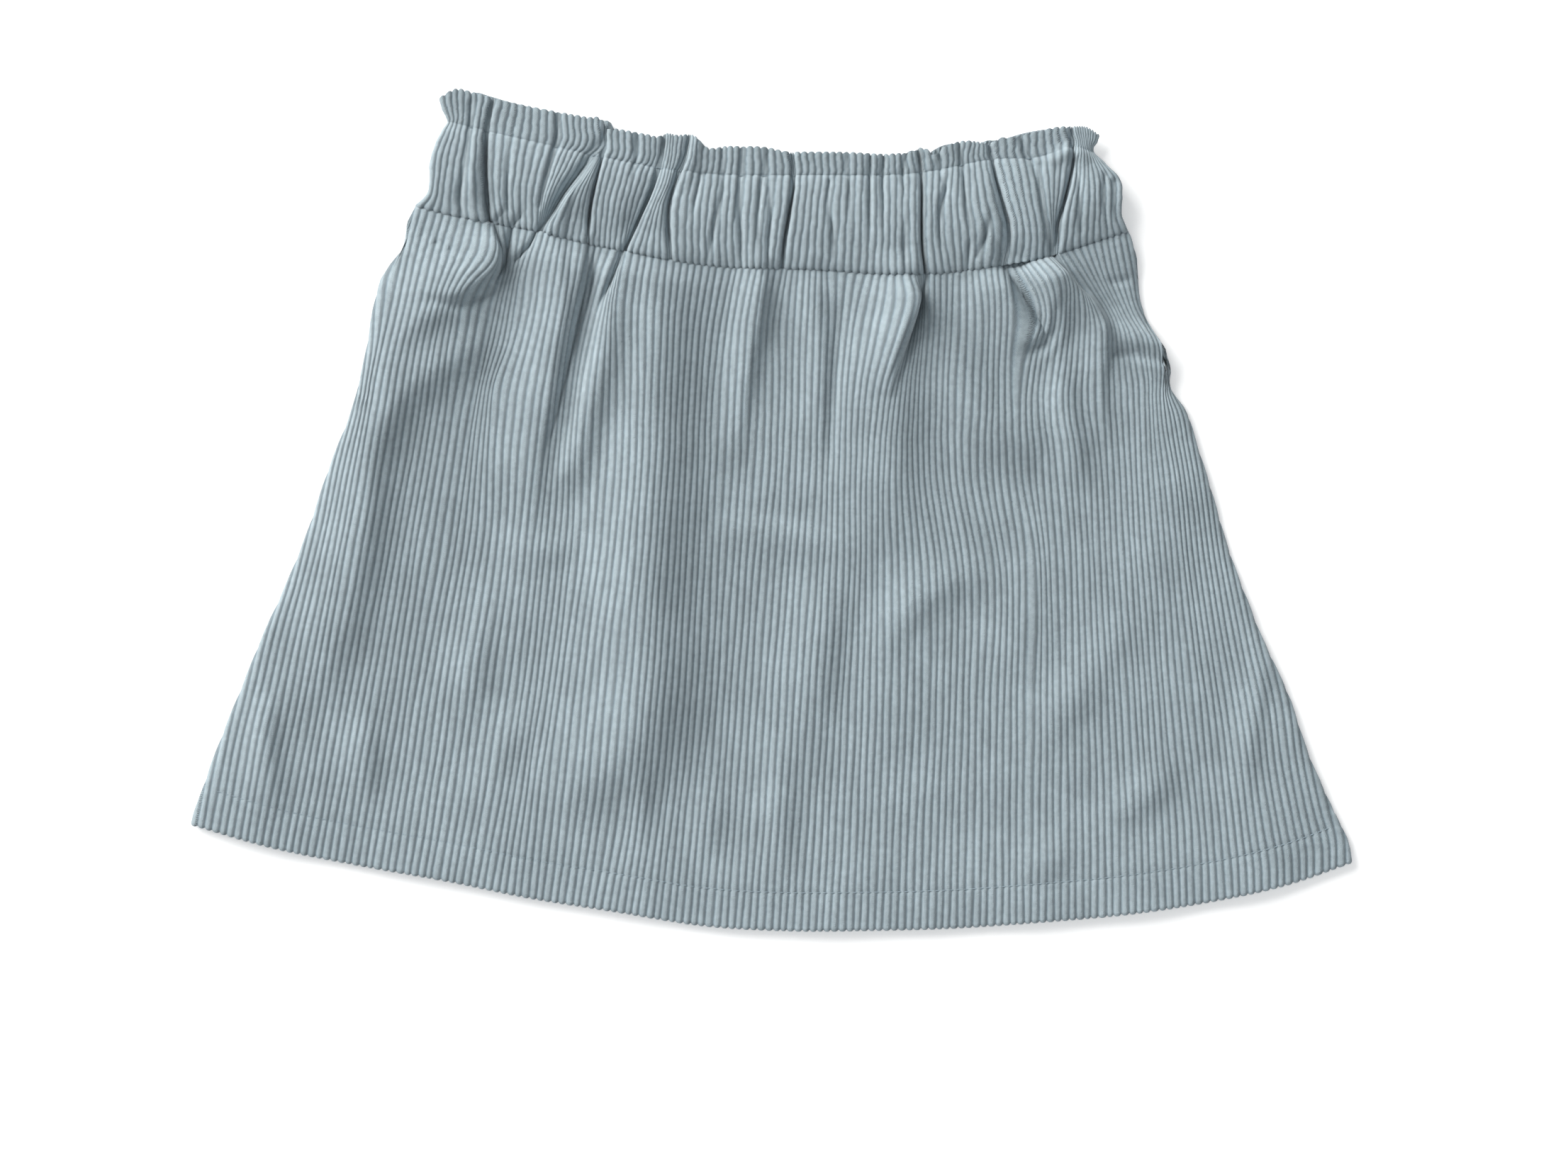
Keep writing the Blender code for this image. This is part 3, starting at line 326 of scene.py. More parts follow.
# Columns: name, width up left, width down right, points of across, along, height, and lean unless it is 0.
# A crimp has its points alone.
PANEL_FOLDS = (
    fold("left lobe edge", 14, 3, (-118, 110, 2.8), (-115, 99, 3.8), (-115, 92, 3.6), (-120, 86, 1.8),
         (-126, 82, 0), lean=2.5),
    fold("left lobe", 20, 9, (-118, 104, 1.1), (-119, 91, 4.6), (-129, 81, 6.6), (-140, 72.5, 6.2),
         (-149.5, 63, 4.8), (-156, 50, 3), (-158, 37, 0), lean=1),
    fold("left slant", 14, 9, (-113, 67, 0), (-124, 60, 3.1), (-137, 50, 5.3), (-149, 40, 6), (-156, 26, 6),
         (-159, 6, 5.6), (-161, -16, 5.3), (-165, -40, 4.3), (-171, -60, 2.5), (-181, -76, 1.1),
         (-190, -90, 0), lean=0.5),
    fold("left pleat", 12, 6, (-91, 103, 5.2), (-89, 88, 6.2), (-89, 70, 6.6), (-91, 50, 5.6),
         (-93.5, 30, 4), (-96, 10, 2), (-98, -10, 0), lean=1),
    fold("left pleat side", 5, 3, (-80, 101, 3.8), (-81, 86, 3.8), (-84, 70, 1.7), (-86, 60, 0), lean=0.5),
    fold("narrow pleat", 5, 7, (-68, 88, 2.6), (-70, 70, 4.9), (-73, 50, 5.8), (-77, 32, 4.6),
         (-82, 15, 2.6), (-89, 4, 0)),
    fold("slit by the narrow pleat", 1.3, 1, (-64.5, 99, -3.5), (-66.5, 92, -3.5), (-69, 85, -3),
         (-71, 80, -2), (-73, 74, 0)),
    fold("lobe crease", 1.3, 1.2, (-107.3, 106, -3.5), (-108.5, 98, -4.5), (-109.5, 92, -4),
         (-111.5, 88, -2), (-115, 84, 0)),
    fold("flap crease", 1, 0.9, (-114.5, 107, -2), (-112.8, 101, -2.5), (-110.4, 96, -1.5), (-109.6, 93, 0)),
    fold("small pleat crease", 1, 0.9, (-97.6, 105, -3), (-100, 99.5, -3), (-104, 94.5, -2),
         (-107.5, 91, 0)),
    fold("left pleat crease", 1.4, 1.2, (-77.8, 101, -1.5), (-79, 84, -2.2), (-81.5, 66, -2.2),
         (-85, 50, -2), (-89, 31, -1.4), (-92, 17, 0)),
    fold("second left pleat crease", 1, 1, (-75.3, 99, -1), (-76.3, 86, -1.8), (-78, 72, 0)),
    fold("lobe hem", 2, 3.5, (-110, 90, -0.8), (-116.5, 81.5, -2.4), (-125, 77, -2.6), (-134, 77, -1.8),
         (-142, 79, 0)),
    fold("long pleat", 20, 16.5, (-55, 99, 4.7), (-54, 80, 6.8), (-52, 55, 7.8), (-51, 20, 7.8),
         (-51, -15, 7.8), (-50, -50, 7.8), (-50, -70, 7.4), (-54, -86, 6.6), (-64, -96, 5.2), (-77, -105, 3),
         (-88, -112, 0)),
    fold("middle pleat", 7, 4, (-12, 95, 4.6), (-13, 76, 4.9), (-16, 55, 3.5), (-18, 35, 1.7),
         (-20, 15, 0), lean=0.4),
    fold("middle gather", 6, 4, (7, 94, 1.4), (10, 75, 2), (12, 50, 1.4), (12, 25, 0)),
    fold("centre edge", 3, 2.2, (21, 92, 0), (18, 62, -1.3), (17, 32, -1.3), (16, 10, 0)),
    fold("lapped pleat", 10, 2.6, (45, 96, 4.9), (46, 86, 6.1), (43, 70, 5.2), (39.5, 55, 2.9),
         (37, 45, 0), lean=3),
    fold("centre rise", 26, 12, (45, 98, 4.3), (43, 70, 4.9), (40, 45, 5.2), (40, 20, 4.3), (42, 0, 2.2),
         (43, -14, 0)),
    fold("hip swell", 12, 12, (60, 74, 1.7), (64, 55, 4.2), (73, 40, 4.6), (87, 32, 2.8), (99, 28, 0)),
    fold("right lobe", 12, 5, (77, 99, 3.6), (80, 89, 4.4), (84.5, 80, 4.4), (90, 72, 3.8), (95, 68, 2),
         (101, 65, 0), lean=0.5),
    fold("hanging lobe", 6, 5, (91, 102, 3.4), (95, 94, 4.4), (99, 85, 4.8), (101, 77, 4.2), (98, 70, 2.2),
         (93, 66, 0), lean=0.5),
    fold("lobe groove", 1.2, 1.1, (79.5, 98.5, -3.4), (85, 91, -4.2), (91, 83, -4), (95.6, 76.5, -3),
         (97, 72, -1.5)),
    fold("hanging lobe hem", 1.8, 3, (100.5, 82, -1), (100, 74, -2.8), (96, 68.5, -3), (91, 66, -1.4),
         (86, 65.5, 0)),
    fold("slant crease", 1.1, 1.5, (98.5, 104, -4), (101, 98.5, -4.5), (104.5, 93, -4.5), (108, 88.5, -3),
         (112.5, 85, -1.4), (116.5, 81, -1), (119, 75, 0)),
    fold("lapped pleat crease", 2, 2.6, (44.3, 94.5, -2.2), (47, 87.5, -4.6), (48.4, 82.5, -5.6),
         (47, 77, -5.6), (44.4, 69, -4.8), (42, 60, -3), (40, 50, 0)),
    fold("lapped pleat notch", 1.3, 1.2, (51.6, 98, -3.5), (50.9, 91.5, -3.5), (49.6, 86.5, -3),
         (48.2, 82, -2)),
    fold("right slant", 8, 2.4, (97, 104, 5.2), (101, 96, 7.2), (107, 89, 7.5), (113, 84, 6.7),
         (118, 77, 5.2), (119.5, 68, 3.2), (119, 56, 1.7), (120, 44, 1.2), (123, 30, 0), lean=2.4),
    fold("seam hollow", 2, 2.4, (79, 97.5, -3), (85, 98.5, -8), (92, 100.5, -8), (98, 102.5, -7)),
    fold("right notch", 1, 1.2, (120, 94, 0), (123, 93.4, -1.8), (127, 94, -1.8), (130, 95, 0)),
    fold("right bulge hem", 1.5, 3.5, (119, 67, 0), (125, 66, -2), (132, 65.5, -2.6), (139, 64, -2.4),
         (145, 62, -2)),
    fold("right bulge", 8, 5, (117, 81, 0), (125, 76, 3.2), (133, 72, 5.2), (143, 68, 5.8), lean=1),
    fold("right gather", 6, 5, (103, 62, 1.4), (106, 45, 2.9), (110, 30, 2.3), (113, 12, 0)),
    fold("right hem run", 6, 4, (186, -44, 0.5), (183, -62, 1.4), (180, -85, 1.3), (178, -108, 0)),
    fold("right dimple", 9, 6, (85, -17, 0), (72, -20, 1.1), (58, -27, 1.7), (47, -38, 1.6), (38, -52, 0.6),
         (33, -62, 0)),
    fold("cross crease", 9, 4, (-28, -2, 0), (-18, -5, 1.5), (0, -6, 1.8), (15, -9, 1.8), (28, -17, 1.1),
         (36, -27, 0)),
    fold("centre swell", 12, 8, (14, -20, 0), (17, -40, 2.3), (15, -62, 2.3), (11, -86, 1.4), (9, -102, 0)),
    fold("left swell", 8, 6, (-116, -36, 0), (-116, -58, 1.9), (-117, -80, 0)),
    fold("left cross crease", 6, 5, (-103, -6, 0), (-97, -14, 1.6), (-88, -17, 1.6), (-77, -14, 0)),
    fold("left dimple", 8, 7, (-90, -70, 0), (-97, -84, 1.2), (-106, -97, 1.3), (-112, -112, 0)),
    fold("left hem ripple", 7, 5, (-195, -74, 0), (-194, -92, 3.2), (-192, -108, 2.3), (-190, -122, 0)),
    fold("second hem ripple", 7, 5, (-158, -80, 0), (-156, -98, 2.2), (-153, -115, 0)),
    fold("third hem ripple", 6, 5, (-26, -103, 0), (-24, -118, 1.6), (-23, -132, 0)),
    fold("fourth hem ripple", 6, 6, (1, -84, 0), (3, -104, 1.9), (3, -124, 1.3), (2, -138, 0)),
    fold("fifth hem ripple", 5, 4, (-52, -98, 0), (-50, -112, 1.4), (-50, -126, 0)),
    fold("right slope", 9, 8, (129, -36, 0), (121, -52, 1.3), (110, -70, 1.5), (97, -88, 0)),
    fold("right hem ripple", 8, 6, (152, -86, 0), (146, -97, 2), (136, -106, 2), (123, -113, 0)),
    fold("low right ripple", 8, 6, (118, -122, 0), (106, -128, 1.7), (92, -134, 0)),
)
BAND_FOLDS = (
    fold("first tuck", 0.8, 0.8, (-115.8, 157, -3.8), (-117.5, 147, -4.2), (-118.3, 138, -5.8),
         (-118, 128, -6.2), (-117.3, 118, -6.2), (-115.5, 106, -6.2)),
    fold("end roll", 3, 2, (-122, 147, 0.6), (-122, 135, 1.3), (-122.5, 120, 1.6), (-120, 109, 1)),
    fold("end groove", 1.3, 1.5, (-124.6, 152, -1.4), (-124.3, 140, -1.4), (-125.4, 128, -1),
         (-127.5, 117, -2), (-126, 109, -2)),
    fold("slanting tuck", 2.4, 1.0, (-75, 138, -1.8), (-81, 128.5, -3.6), (-88, 118.5, -4.3),
         (-95.3, 105, -4.3)),
    fold("slanting edge", 1.5, 5, (-73.5, 134, 0.4), (-78.5, 126, 1.6), (-84.5, 117, 2.2),
         (-91, 107, 2.2), lean=-1),
    fold("second tuck", 0.9, 0.9, (-73, 148, -3.6), (-73.3, 138, -4.3), (-74.8, 128, -3.6), (-77, 118, -4.3),
         (-78, 110, -4.3), (-78, 101, -2.9)),
    fold("deep tuck", 0.8, 0.9, (-50.3, 145, -4.4), (-51.5, 134, -5.8), (-53, 127, -6.2), (-56.3, 117, -6.2),
         (-60, 108, -6.2), (-64, 98, -5.8)),
    fold("third tuck", 1.3, 1.1, (-41, 142, -2), (-42.5, 134, -2.6), (-45, 127, -3.7), (-47.5, 118, -4.2),
         (-47.8, 109, -3.4), (-46.2, 96, -2.6)),
    fold("frill flap", 2.5, 2, (-38, 142, 1.6), (-39.5, 134, 1.6), (-41.5, 127, 1.1), (-44, 120, 0)),
    fold("middle tuck", 0.9, 0.9, (-1.8, 140, -4), (-1, 131, -3.4), (-0.7, 124, -4), (-1.9, 115, -4.7),
         (-3.4, 104, -4.7), (-4, 94, -4)),
    fold("upright tuck", 0.75, 0.8, (46, 143, -4.5), (47.4, 134, -5), (48.1, 126, -6.2), (48.4, 115, -6.2),
         (49, 104, -6.2), (50.5, 93, -5.8)),
    fold("right tuck", 0.9, 0.9, (72.5, 146, -2.6), (74.5, 138, -3.4), (76, 131, -4), (78.8, 122, -4.7),
         (81.5, 113, -5.1), (82, 106, -5.1), (81, 98, -5.3)),
    fold("last tuck", 0.9, 0.9, (104, 152, -3.2), (105, 144, -3.7), (105.3, 139, -4.2), (104, 130, -4.4),
         (102, 121, -5), (100.4, 114.5, -5.5), (100.6, 108, -6.1), (100.2, 103, -6.6)),
    fold("beside the deep tuck", 5, 2, (-50.3, 143, 0), (-53, 128, -1.4), (-57, 117, -2), (-62, 104, -2),
         (-64, 98, -1)),
    fold("beside the first tuck", 2, 4, (-117, 145, 0), (-117.5, 128, -1.2), (-116.5, 114, -1.6),
         (-115, 106, -1)),
    fold("beside the right tuck", 4, 1.5, (77, 134, 0), (79.5, 122, -1.4), (82, 112, -2), (82, 103, -2)),
    fold("beside the last tuck", 4, 1.5, (105, 137, 0), (102, 123, -1.2), (100, 112, -1.8), (99, 104, -2)),
    fold("frill lump", 2.6, 2.6, (97, 138, 1), (103, 142, 2.4), (107, 141, 2), (111, 137, 0)),
    crimp((-91, 149, -1.3), (-91.5, 138, -1.6), (-94, 128, -1.6), (-97, 114, -1)),
    crimp((-109, 143, 0), (-109.5, 128, -1.1), (-109, 112, -1.6)),
    crimp((-60.8, 145, -1.6), (-61, 134, -1.3), (-62.5, 122, 0)),
    fold("wide crimp", 1.2, 1.3, (-81.5, 121, 0), (-84.5, 112, -1.3), (-86.5, 102, -1.6)),
    crimp((-36, 128, -1.3), (-37.6, 119, -1), (-39.5, 110, 0)),
    crimp((-28, 141, -1), (-27.8, 130, -0.7), (-27.6, 122, -1.2), (-30, 110, -1.6), (-32, 96, -1)),
    fold("wide crimp", 1.3, 1.3, (-20.3, 141, -1.3), (-20.8, 128, -1.6), (-21, 115, -2.1),
         (-19.8, 104, -1.4), (-19.4, 95, -1)),
    crimp((-11, 141, -1.1), (-11.5, 131, -0.8), (-13, 124, -1.6), (-13.6, 112, -1.1), (-12, 99, 0)),
    crimp((-9.5, 126, -0.6), (-9, 112, -1.8), (-9.6, 104, -1.6), (-9.4, 95, -2.2)),
    crimp((13, 127, -1.3), (13, 117, -0.8), (14.8, 109, -1.6), (15.7, 98, -0.5)),
    crimp((19.5, 141, -1.3), (19.6, 131, -0.6), (21, 124, -1.1), (21.6, 111, 0)),
    crimp((28.2, 141, -1.6), (28.2, 128, -1.9), (28.6, 116, -1.3), (28.5, 102, 0)),
    fold("wide crimp", 1.3, 1.2, (33.8, 142, -1.9), (33, 130, -2.1), (33.6, 120, -1.3), (34.2, 107, 0)),
    crimp((42.6, 115, 0), (42.3, 104, -1.4), (42.6, 94, -1.6)),
    crimp((42, 140, -0.6), (40.6, 130, -1.4), (43, 121, 0)),
    fold("wide crimp", 1.2, 1.3, (54.6, 142, -1.3), (54.8, 132, -0.6), (57.2, 127, -1.6), (55.4, 118, -2.1),
         (55.6, 108, -1.3), (58, 99, 0)),
    crimp((61.6, 144, -1.6), (63.5, 133, -1.6), (65, 122, -1.5), (67.4, 111, -0.5)),
    crimp((67, 108, 0), (66.8, 103, -1.6), (66.4, 96, -1.6)),
    crimp((75, 119, 0), (73.4, 110, -1.6), (70.6, 101, -1.2)),
    fold("wide crimp", 1.3, 1.3, (84.2, 148, -1.9), (87.5, 141, -2), (90, 136, -1.3), (91.4, 130, 0)),
    crimp((92.4, 136, -1.1), (93.5, 124, -1.6), (95.6, 114, -1.6), (96.8, 106, 0)),
    crimp((117.5, 133, -1.1), (117.3, 124, -1.4), (119.5, 113, -0.5)),
    crimp((121, 131, -1.3), (121.6, 120, -1.1), (124, 112, 0)),
    crimp((106.6, 139, -1.1), (108, 126, -1.1), (109, 112, -1.3)),
)

# Columns: number from the left end, then points of across, along
PANEL_GUIDES = (
    guide(14, (-144.6, 112), (-150, 85), (-154, 62), (-159, 30), (-164, -8), (-171, -58), (-178, -108),
          (-182, -134)),
    guide(19, (-130, 109), (-136, 85), (-141, 62), (-145, 30), (-150, -8), (-157, -58), (-164, -108),
          (-168, -137)),
    guide(24.7, (-114, 107), (-117, 92), (-125, 80), (-127, 66), (-129, 50), (-131, 30), (-136, -8),
          (-142, -58), (-148, -108), (-152, -139)),
    guide(28.2, (-112.5, 107), (-110, 92), (-112.5, 80), (-116, 62), (-121, 30), (-125, -8), (-132, -58),
          (-138, -108), (-142, -140)),
    guide(33, (-98, 104), (-103, 90), (-105, 75), (-107, 62), (-112, 45), (-113, 30), (-113.5, -8),
          (-119, -58), (-124, -108), (-128.5, -142)),
    guide(34, (-97, 104), (-100.5, 90), (-102, 75), (-104.5, 62), (-109, 45), (-110, 30), (-110.5, -8),
          (-116, -58), (-121, -108), (-125.5, -143)),
    guide(40, (-83.5, 101), (-86, 80), (-88.5, 62), (-91, 30), (-94, -8), (-97.5, -58), (-103, -108),
          (-108.5, -146)),
    guide(46.2, (-66, 98), (-71.5, 80), (-75.5, 62), (-79, 30), (-79, -8), (-83, -58), (-88, -108),
          (-91, -149)),
    guide(50.7, (-64, 98), (-66.5, 80), (-66, 62), (-65, 30), (-66, -8), (-71, -58), (-74, -108),
          (-78.5, -150)),
    guide(57, (-47.5, 95), (-48.5, 78), (-48.5, 55), (-48.5, 20), (-50, -19), (-52, -69), (-56, -119),
          (-60.5, -153)),
    guide(66, (-23, 94), (-26, 75), (-28, 51), (-28.5, 19), (-29, -19), (-30, -69), (-33, -119),
          (-35.5, -156)),
    guide(74, (-3.7, 94), (-6, 75), (-5.5, 51), (-5.5, 19), (-7.5, -19), (-9.5, -69), (-11, -119),
          (-12.7, -158)),
    guide(82, (13.5, 94), (14.5, 75), (14.5, 51), (14.7, 19), (14, -19), (12.5, -69), (11, -119),
          (10, -158)),
    guide(86, (28.5, 94), (25, 75), (23, 51), (23, 19), (24, -19), (23, -69), (22, -119), (21, -157)),
    guide(92.5, (45.5, 93), (46, 85), (43.5, 70), (39.5, 52), (37, 19), (38, -19), (39.5, -69), (39.5, -119),
          (39.5, -156)),
    guide(99.5, (51, 94), (51.5, 75), (51, 51), (52, 19), (58, -19), (60, -69), (59.5, -119), (59.5, -155)),
    guide(104.3, (62.5, 95), (62.5, 75), (62, 51), (63.5, 19), (70.5, -19), (72, -69), (72.5, -119),
          (73, -154)),
    guide(108.2, (71.5, 97), (74, 77), (74, 53), (74.5, 19), (82, -19), (82.5, -69), (83.5, -119),
          (84, -153)),
    guide(112.8, (82, 99), (84, 80), (84.5, 58), (86.5, 25), (92.5, -14), (94, -64), (95.5, -114),
          (97, -152)),
    guide(114, (84, 99), (92, 86), (94, 78), (91, 66), (89, 50), (90, 25), (97, -14), (98.5, -64),
          (99.5, -114), (100, -151)),
    guide(117, (90, 100), (97, 88), (99, 78), (97, 66), (95.5, 50), (98, 25), (102.5, -14), (105.5, -64),
          (107.5, -114), (108.7, -150)),
    guide(120, (97, 102), (102.5, 90), (104.5, 78), (104, 66), (102.5, 50), (106, 25), (110.5, -14),
          (113.5, -64), (116, -114), (117.2, -149)),
    guide(124, (99.5, 103), (109, 87), (112, 78), (112.5, 66), (112, 50), (116, 25), (119.5, -14),
          (123.5, -64), (127, -114), (128.5, -148)),
    guide(127.5, (101, 103.5), (112, 85.5), (118.5, 75), (120.5, 62), (122, 45), (124, 25), (127.5, -14),
          (132.5, -64), (137, -114), (138.3, -147)),
    guide(128.5, (102.5, 104), (114, 89), (120.5, 79), (122.5, 66), (124, 50), (126.5, 25), (130, -14),
          (135.5, -64), (139.5, -114), (141.2, -146)),
    guide(134, (117.5, 109), (121, 95), (127, 82), (133, 68), (135.5, 58), (137, 40), (139, 15),
          (143.5, -24), (149, -74), (154.5, -114), (156.7, -143)),
    guide(138.5, (127.6, 113), (131.4, 97), (133.4, 85), (140.5, 71), (142.5, 60), (143, 48), (148, 20),
          (153.5, -20), (161, -70), (167, -114), (169.4, -141)),
)
BAND_GUIDES = (
    guide(3, (-134.5, 110.5), (-133, 121), (-131.5, 132), (-129.5, 144), (-129.5, 157)),
    guide(8, (-116.3, 107.5), (-118.1, 118), (-118.8, 128), (-119.1, 138), (-116.7, 154.5)),
    guide(12, (-114.7, 107), (-116.5, 118), (-117.2, 128), (-117.5, 138), (-115.1, 153.5)),
    guide(20, (-97, 104.5), (-96.5, 118), (-94.5, 128), (-92.5, 137), (-92, 150)),
    guide(27.3, (-95.3, 104), (-88, 118), (-81, 128), (-74.6, 137), (-74.4, 146)),
    guide(28, (-94.3, 104), (-86.8, 118), (-79.6, 128), (-74, 136), (-73.8, 146)),
    guide(34, (-78.5, 100.5), (-77.5, 118), (-75.3, 128), (-73.4, 135), (-73.3, 146)),
    guide(35, (-77.5, 100.4), (-76.5, 118), (-74.4, 128), (-72.9, 135), (-72.5, 145.5)),
    guide(41.5, (-64.6, 98.3), (-62, 117), (-59.5, 128), (-57.5, 132), (-56.5, 143.5)),
    guide(44, (-64.1, 98.2), (-60.8, 108), (-57.1, 117), (-53.8, 127), (-52.3, 133.5), (-51, 143.3)),
    guide(48, (-63.3, 98), (-59.4, 108), (-55.5, 117), (-52.2, 127), (-50.8, 133.5), (-49.6, 143.3)),
    guide(51, (-56, 97), (-52.3, 115), (-48.8, 125), (-47.6, 132), (-46.8, 143)),
    guide(54, (-47.3, 95.7), (-48.6, 110), (-48.2, 118), (-45.8, 126), (-43, 133.5), (-41.6, 142)),
    guide(56, (-45.7, 95.5), (-47.1, 110), (-46.8, 118), (-44.2, 126), (-41.6, 133.5), (-40.2, 141.5)),
    guide(58, (-40.5, 95), (-40.8, 110), (-40.2, 118), (-38.9, 128), (-37.6, 140.5)),
    guide(65, (-21.8, 93.7), (-22.8, 110), (-22.4, 118), (-21.8, 129), (-21.6, 139.4)),
    guide(72, (-4.5, 93.8), (-3.2, 108), (-2.2, 116), (-1.5, 129), (-2.6, 138.5)),
    guide(74, (-3.3, 93.9), (-2, 108), (-1.1, 116), (-0.2, 129), (-0.9, 138.6)),
    guide(80, (14, 93.8), (14.4, 108), (14.6, 118), (15.4, 130), (15, 139)),
    guide(86, (31.5, 93.5), (31.6, 108), (31.3, 118), (31, 131), (31, 139.2)),
    guide(92.5, (49.7, 93.4), (48.3, 104), (47.7, 115), (47.4, 126), (46.7, 134), (45.3, 140.3)),
    guide(97.5, (51.2, 93.6), (49.7, 104), (49.1, 115), (48.8, 126), (48.1, 134), (46.9, 140.8)),
    guide(101, (60.5, 94.8), (57.6, 110), (57, 120), (58, 133), (57.4, 142.6)),
    guide(105, (69, 96.3), (69.5, 110), (67.6, 120), (66, 136), (66.5, 143.8)),
    guide(108.5, (80.3, 98.3), (81.3, 106), (80.8, 113), (78.1, 122), (75.3, 131), (72, 144.6)),
    guide(111, (81.7, 98.5), (82.7, 106), (82.2, 113), (79.5, 122), (76.7, 131), (73.4, 145)),
    guide(114, (90.3, 100.3), (90.6, 110), (88, 121), (84.5, 138), (83, 147.3)),
    guide(117, (98.4, 102.4), (98, 110), (96, 121), (92.6, 140), (91.5, 149.6)),
    guide(121.5, (99.5, 102.8), (99.9, 110), (101.4, 121), (103.8, 131), (104.8, 139), (103.6, 151.5)),
    guide(123, (100.9, 103.2), (101.3, 110), (102.8, 121), (105.2, 131), (106, 139), (105, 151.4)),
    guide(128, (114.6, 108.3), (114.4, 118), (114, 128), (111.4, 142), (109.6, 150.6)),
)


def ease(share):
    share = np.clip(share, 0.0, 1.0)
    return share * share * (3 - 2 * share)


def mix(first, second, share):
    return first + (second - first) * share


def through(points, places):
    """A smooth curve through a table's two columns, read at these places of its first column."""
    knots, values = np.array(points, float).T
    slopes = np.gradient(values, knots)
    places = np.clip(places, knots[0], knots[-1])
    start = np.clip(np.searchsorted(knots, places) - 1, 0, len(knots) - 2)
    span = knots[start + 1] - knots[start]
    t = (places - knots[start]) / span
    return (
        values[start] * (1 + 2 * t) * (1 - t) ** 2
        + slopes[start] * span * t * (1 - t) ** 2
        + values[start + 1] * t * t * (3 - 2 * t)
        + slopes[start + 1] * span * t * t * (t - 1)
    )


def folded(folds, x, y):
    """How far the folds raise these points and lean them across and along."""
    moved = np.zeros((3,) + np.shape(x))
    for each in folds:
        steps = np.arange(len(each.path))
        fine = np.linspace(0, len(each.path) - 1, (len(each.path) - 1) * FOLD_SAMPLES + 1)
        path = np.array([through(list(zip(steps, column)), fine) for column in zip(*each.path)])
        nearest = np.full(np.shape(x), np.inf)
        height, side = np.zeros((2,) + np.shape(x))
        across, along = np.zeros((2,) + np.shape(x))
        for (ax, ay, ah), (bx, by, bh) in zip(path.T[:-1], path.T[1:]):
            run = math.hypot(bx - ax, by - ay)
            share = np.clip(((x - ax) * (bx - ax) + (y - ay) * (by - ay)) / run**2, 0, 1)
            away_x = x - mix(ax, bx, share)
            away_y = y - mix(ay, by, share)
            away = np.hypot(away_x, away_y)
            closer = away < nearest
            nearest = np.where(closer, away, nearest)
            height = np.where(closer, mix(ah, bh, share), height)
            side = np.where(closer, (bx - ax) * away_y - (by - ay) * away_x, side)
            across = np.where(closer, (ay - by) / run, across)
            along = np.where(closer, (bx - ax) / run, along)
        width = np.where(side > 0, each.down_right, each.up_left)
        shape = np.exp(-((nearest / width) ** 2))
        highest = max(abs(point.height) for point in each.path)
        lean = each.lean * (height / highest * shape) ** 2
        moved += np.array([lean * across, lean * along, height * shape])
    return moved


def rolled(distance, radius=ROLL_RADIUS):
    """How far an edge has turned down, from 1 at the edge to 0 where the cloth lies level."""
    share = 1 - np.clip(distance / radius, 0, 1)
    return 1 - np.sqrt(1 - share**2)


def swelled(x, y):
    """The slight unevenness of cloth that lies loose: waves of several lengths laid over each other."""
    steady = np.random.default_rng(SWELL_SEED)
    raised = np.zeros(np.shape(x))
    for swell in SWELLS:
        heading, start = steady.uniform(0, 2 * np.pi, 2)
        distance = x * math.cos(heading) + y * math.sin(heading)
        raised += swell.height * np.sin(2 * np.pi * distance / swell.length + start)
    return raised


def groove(distance):
    """The dent that a row of stitches pulls into the cloth."""
    return GROOVE_DEPTH * np.exp(-((distance / GROOVE_WIDTH) ** 2))


def panel_place(across, down, inset=0.0):
    """Where a point of the panel lies, how far it is from a side and how long the panel is there."""
    seam_y = through(SEAM, mix(SEAM[0].across, SEAM[-1].across, across)) - PARTING / 2
    hem_y = through(HEM, mix(HEM[0].across, HEM[-1].across, across))
    left_x = through(LEFT_EDGE, mix(SEAM[0].along, HEM[0].along, down)) + inset
    right_x = through(RIGHT_EDGE, mix(SEAM[-1].along, HEM[-1].along, down)) - inset
    x = mix(left_x, right_x, across)
    return x, mix(seam_y, hem_y, down), np.minimum(x - left_x, right_x - x), seam_y - hem_y


def hem_share(from_hem):
    """1 on the turned-up hem, falling to 0 above it."""
    return ease(1 - (from_hem - HEM_DEPTH) / HEM_SLOPE)


def panel_surface(across, down):
    """The front panel's outside without its wales."""
    x, y, from_side, length = panel_place(across, down)
    from_seam, from_hem = length * down, length * (1 - down)
    held = mix(SEAM_HOLD, 1.0, ease(from_seam / SEAM_HOLD_REACH))
    level = PANEL_TOP + SEAM_LIFT * np.exp(-((from_seam / SEAM_LIFT_REACH) ** 2))
    level = level + HEM_LIFT * hem_share(from_hem)
    level = level - SEAM_RADIUS * rolled(from_seam, SEAM_RADIUS)
    level = level - EDGE_RADIUS * rolled(from_hem, EDGE_RADIUS)
    level = level - groove(from_hem - HEM_DEPTH) + swelled(x, y) * ease(from_seam / SEAM_HOLD_REACH)
    lean_x, lean_y, raised = folded(PANEL_FOLDS, x, y)
    inside = ease(from_side / ROLL_RADIUS)
    level = np.maximum(level + held * raised, PANEL_LEAST) - ROLL_DROP * rolled(from_side)
    below = ease(from_seam / SEAM_LEAN_REACH)
    return x + held * lean_x * inside, y + held * lean_y * inside * below, level


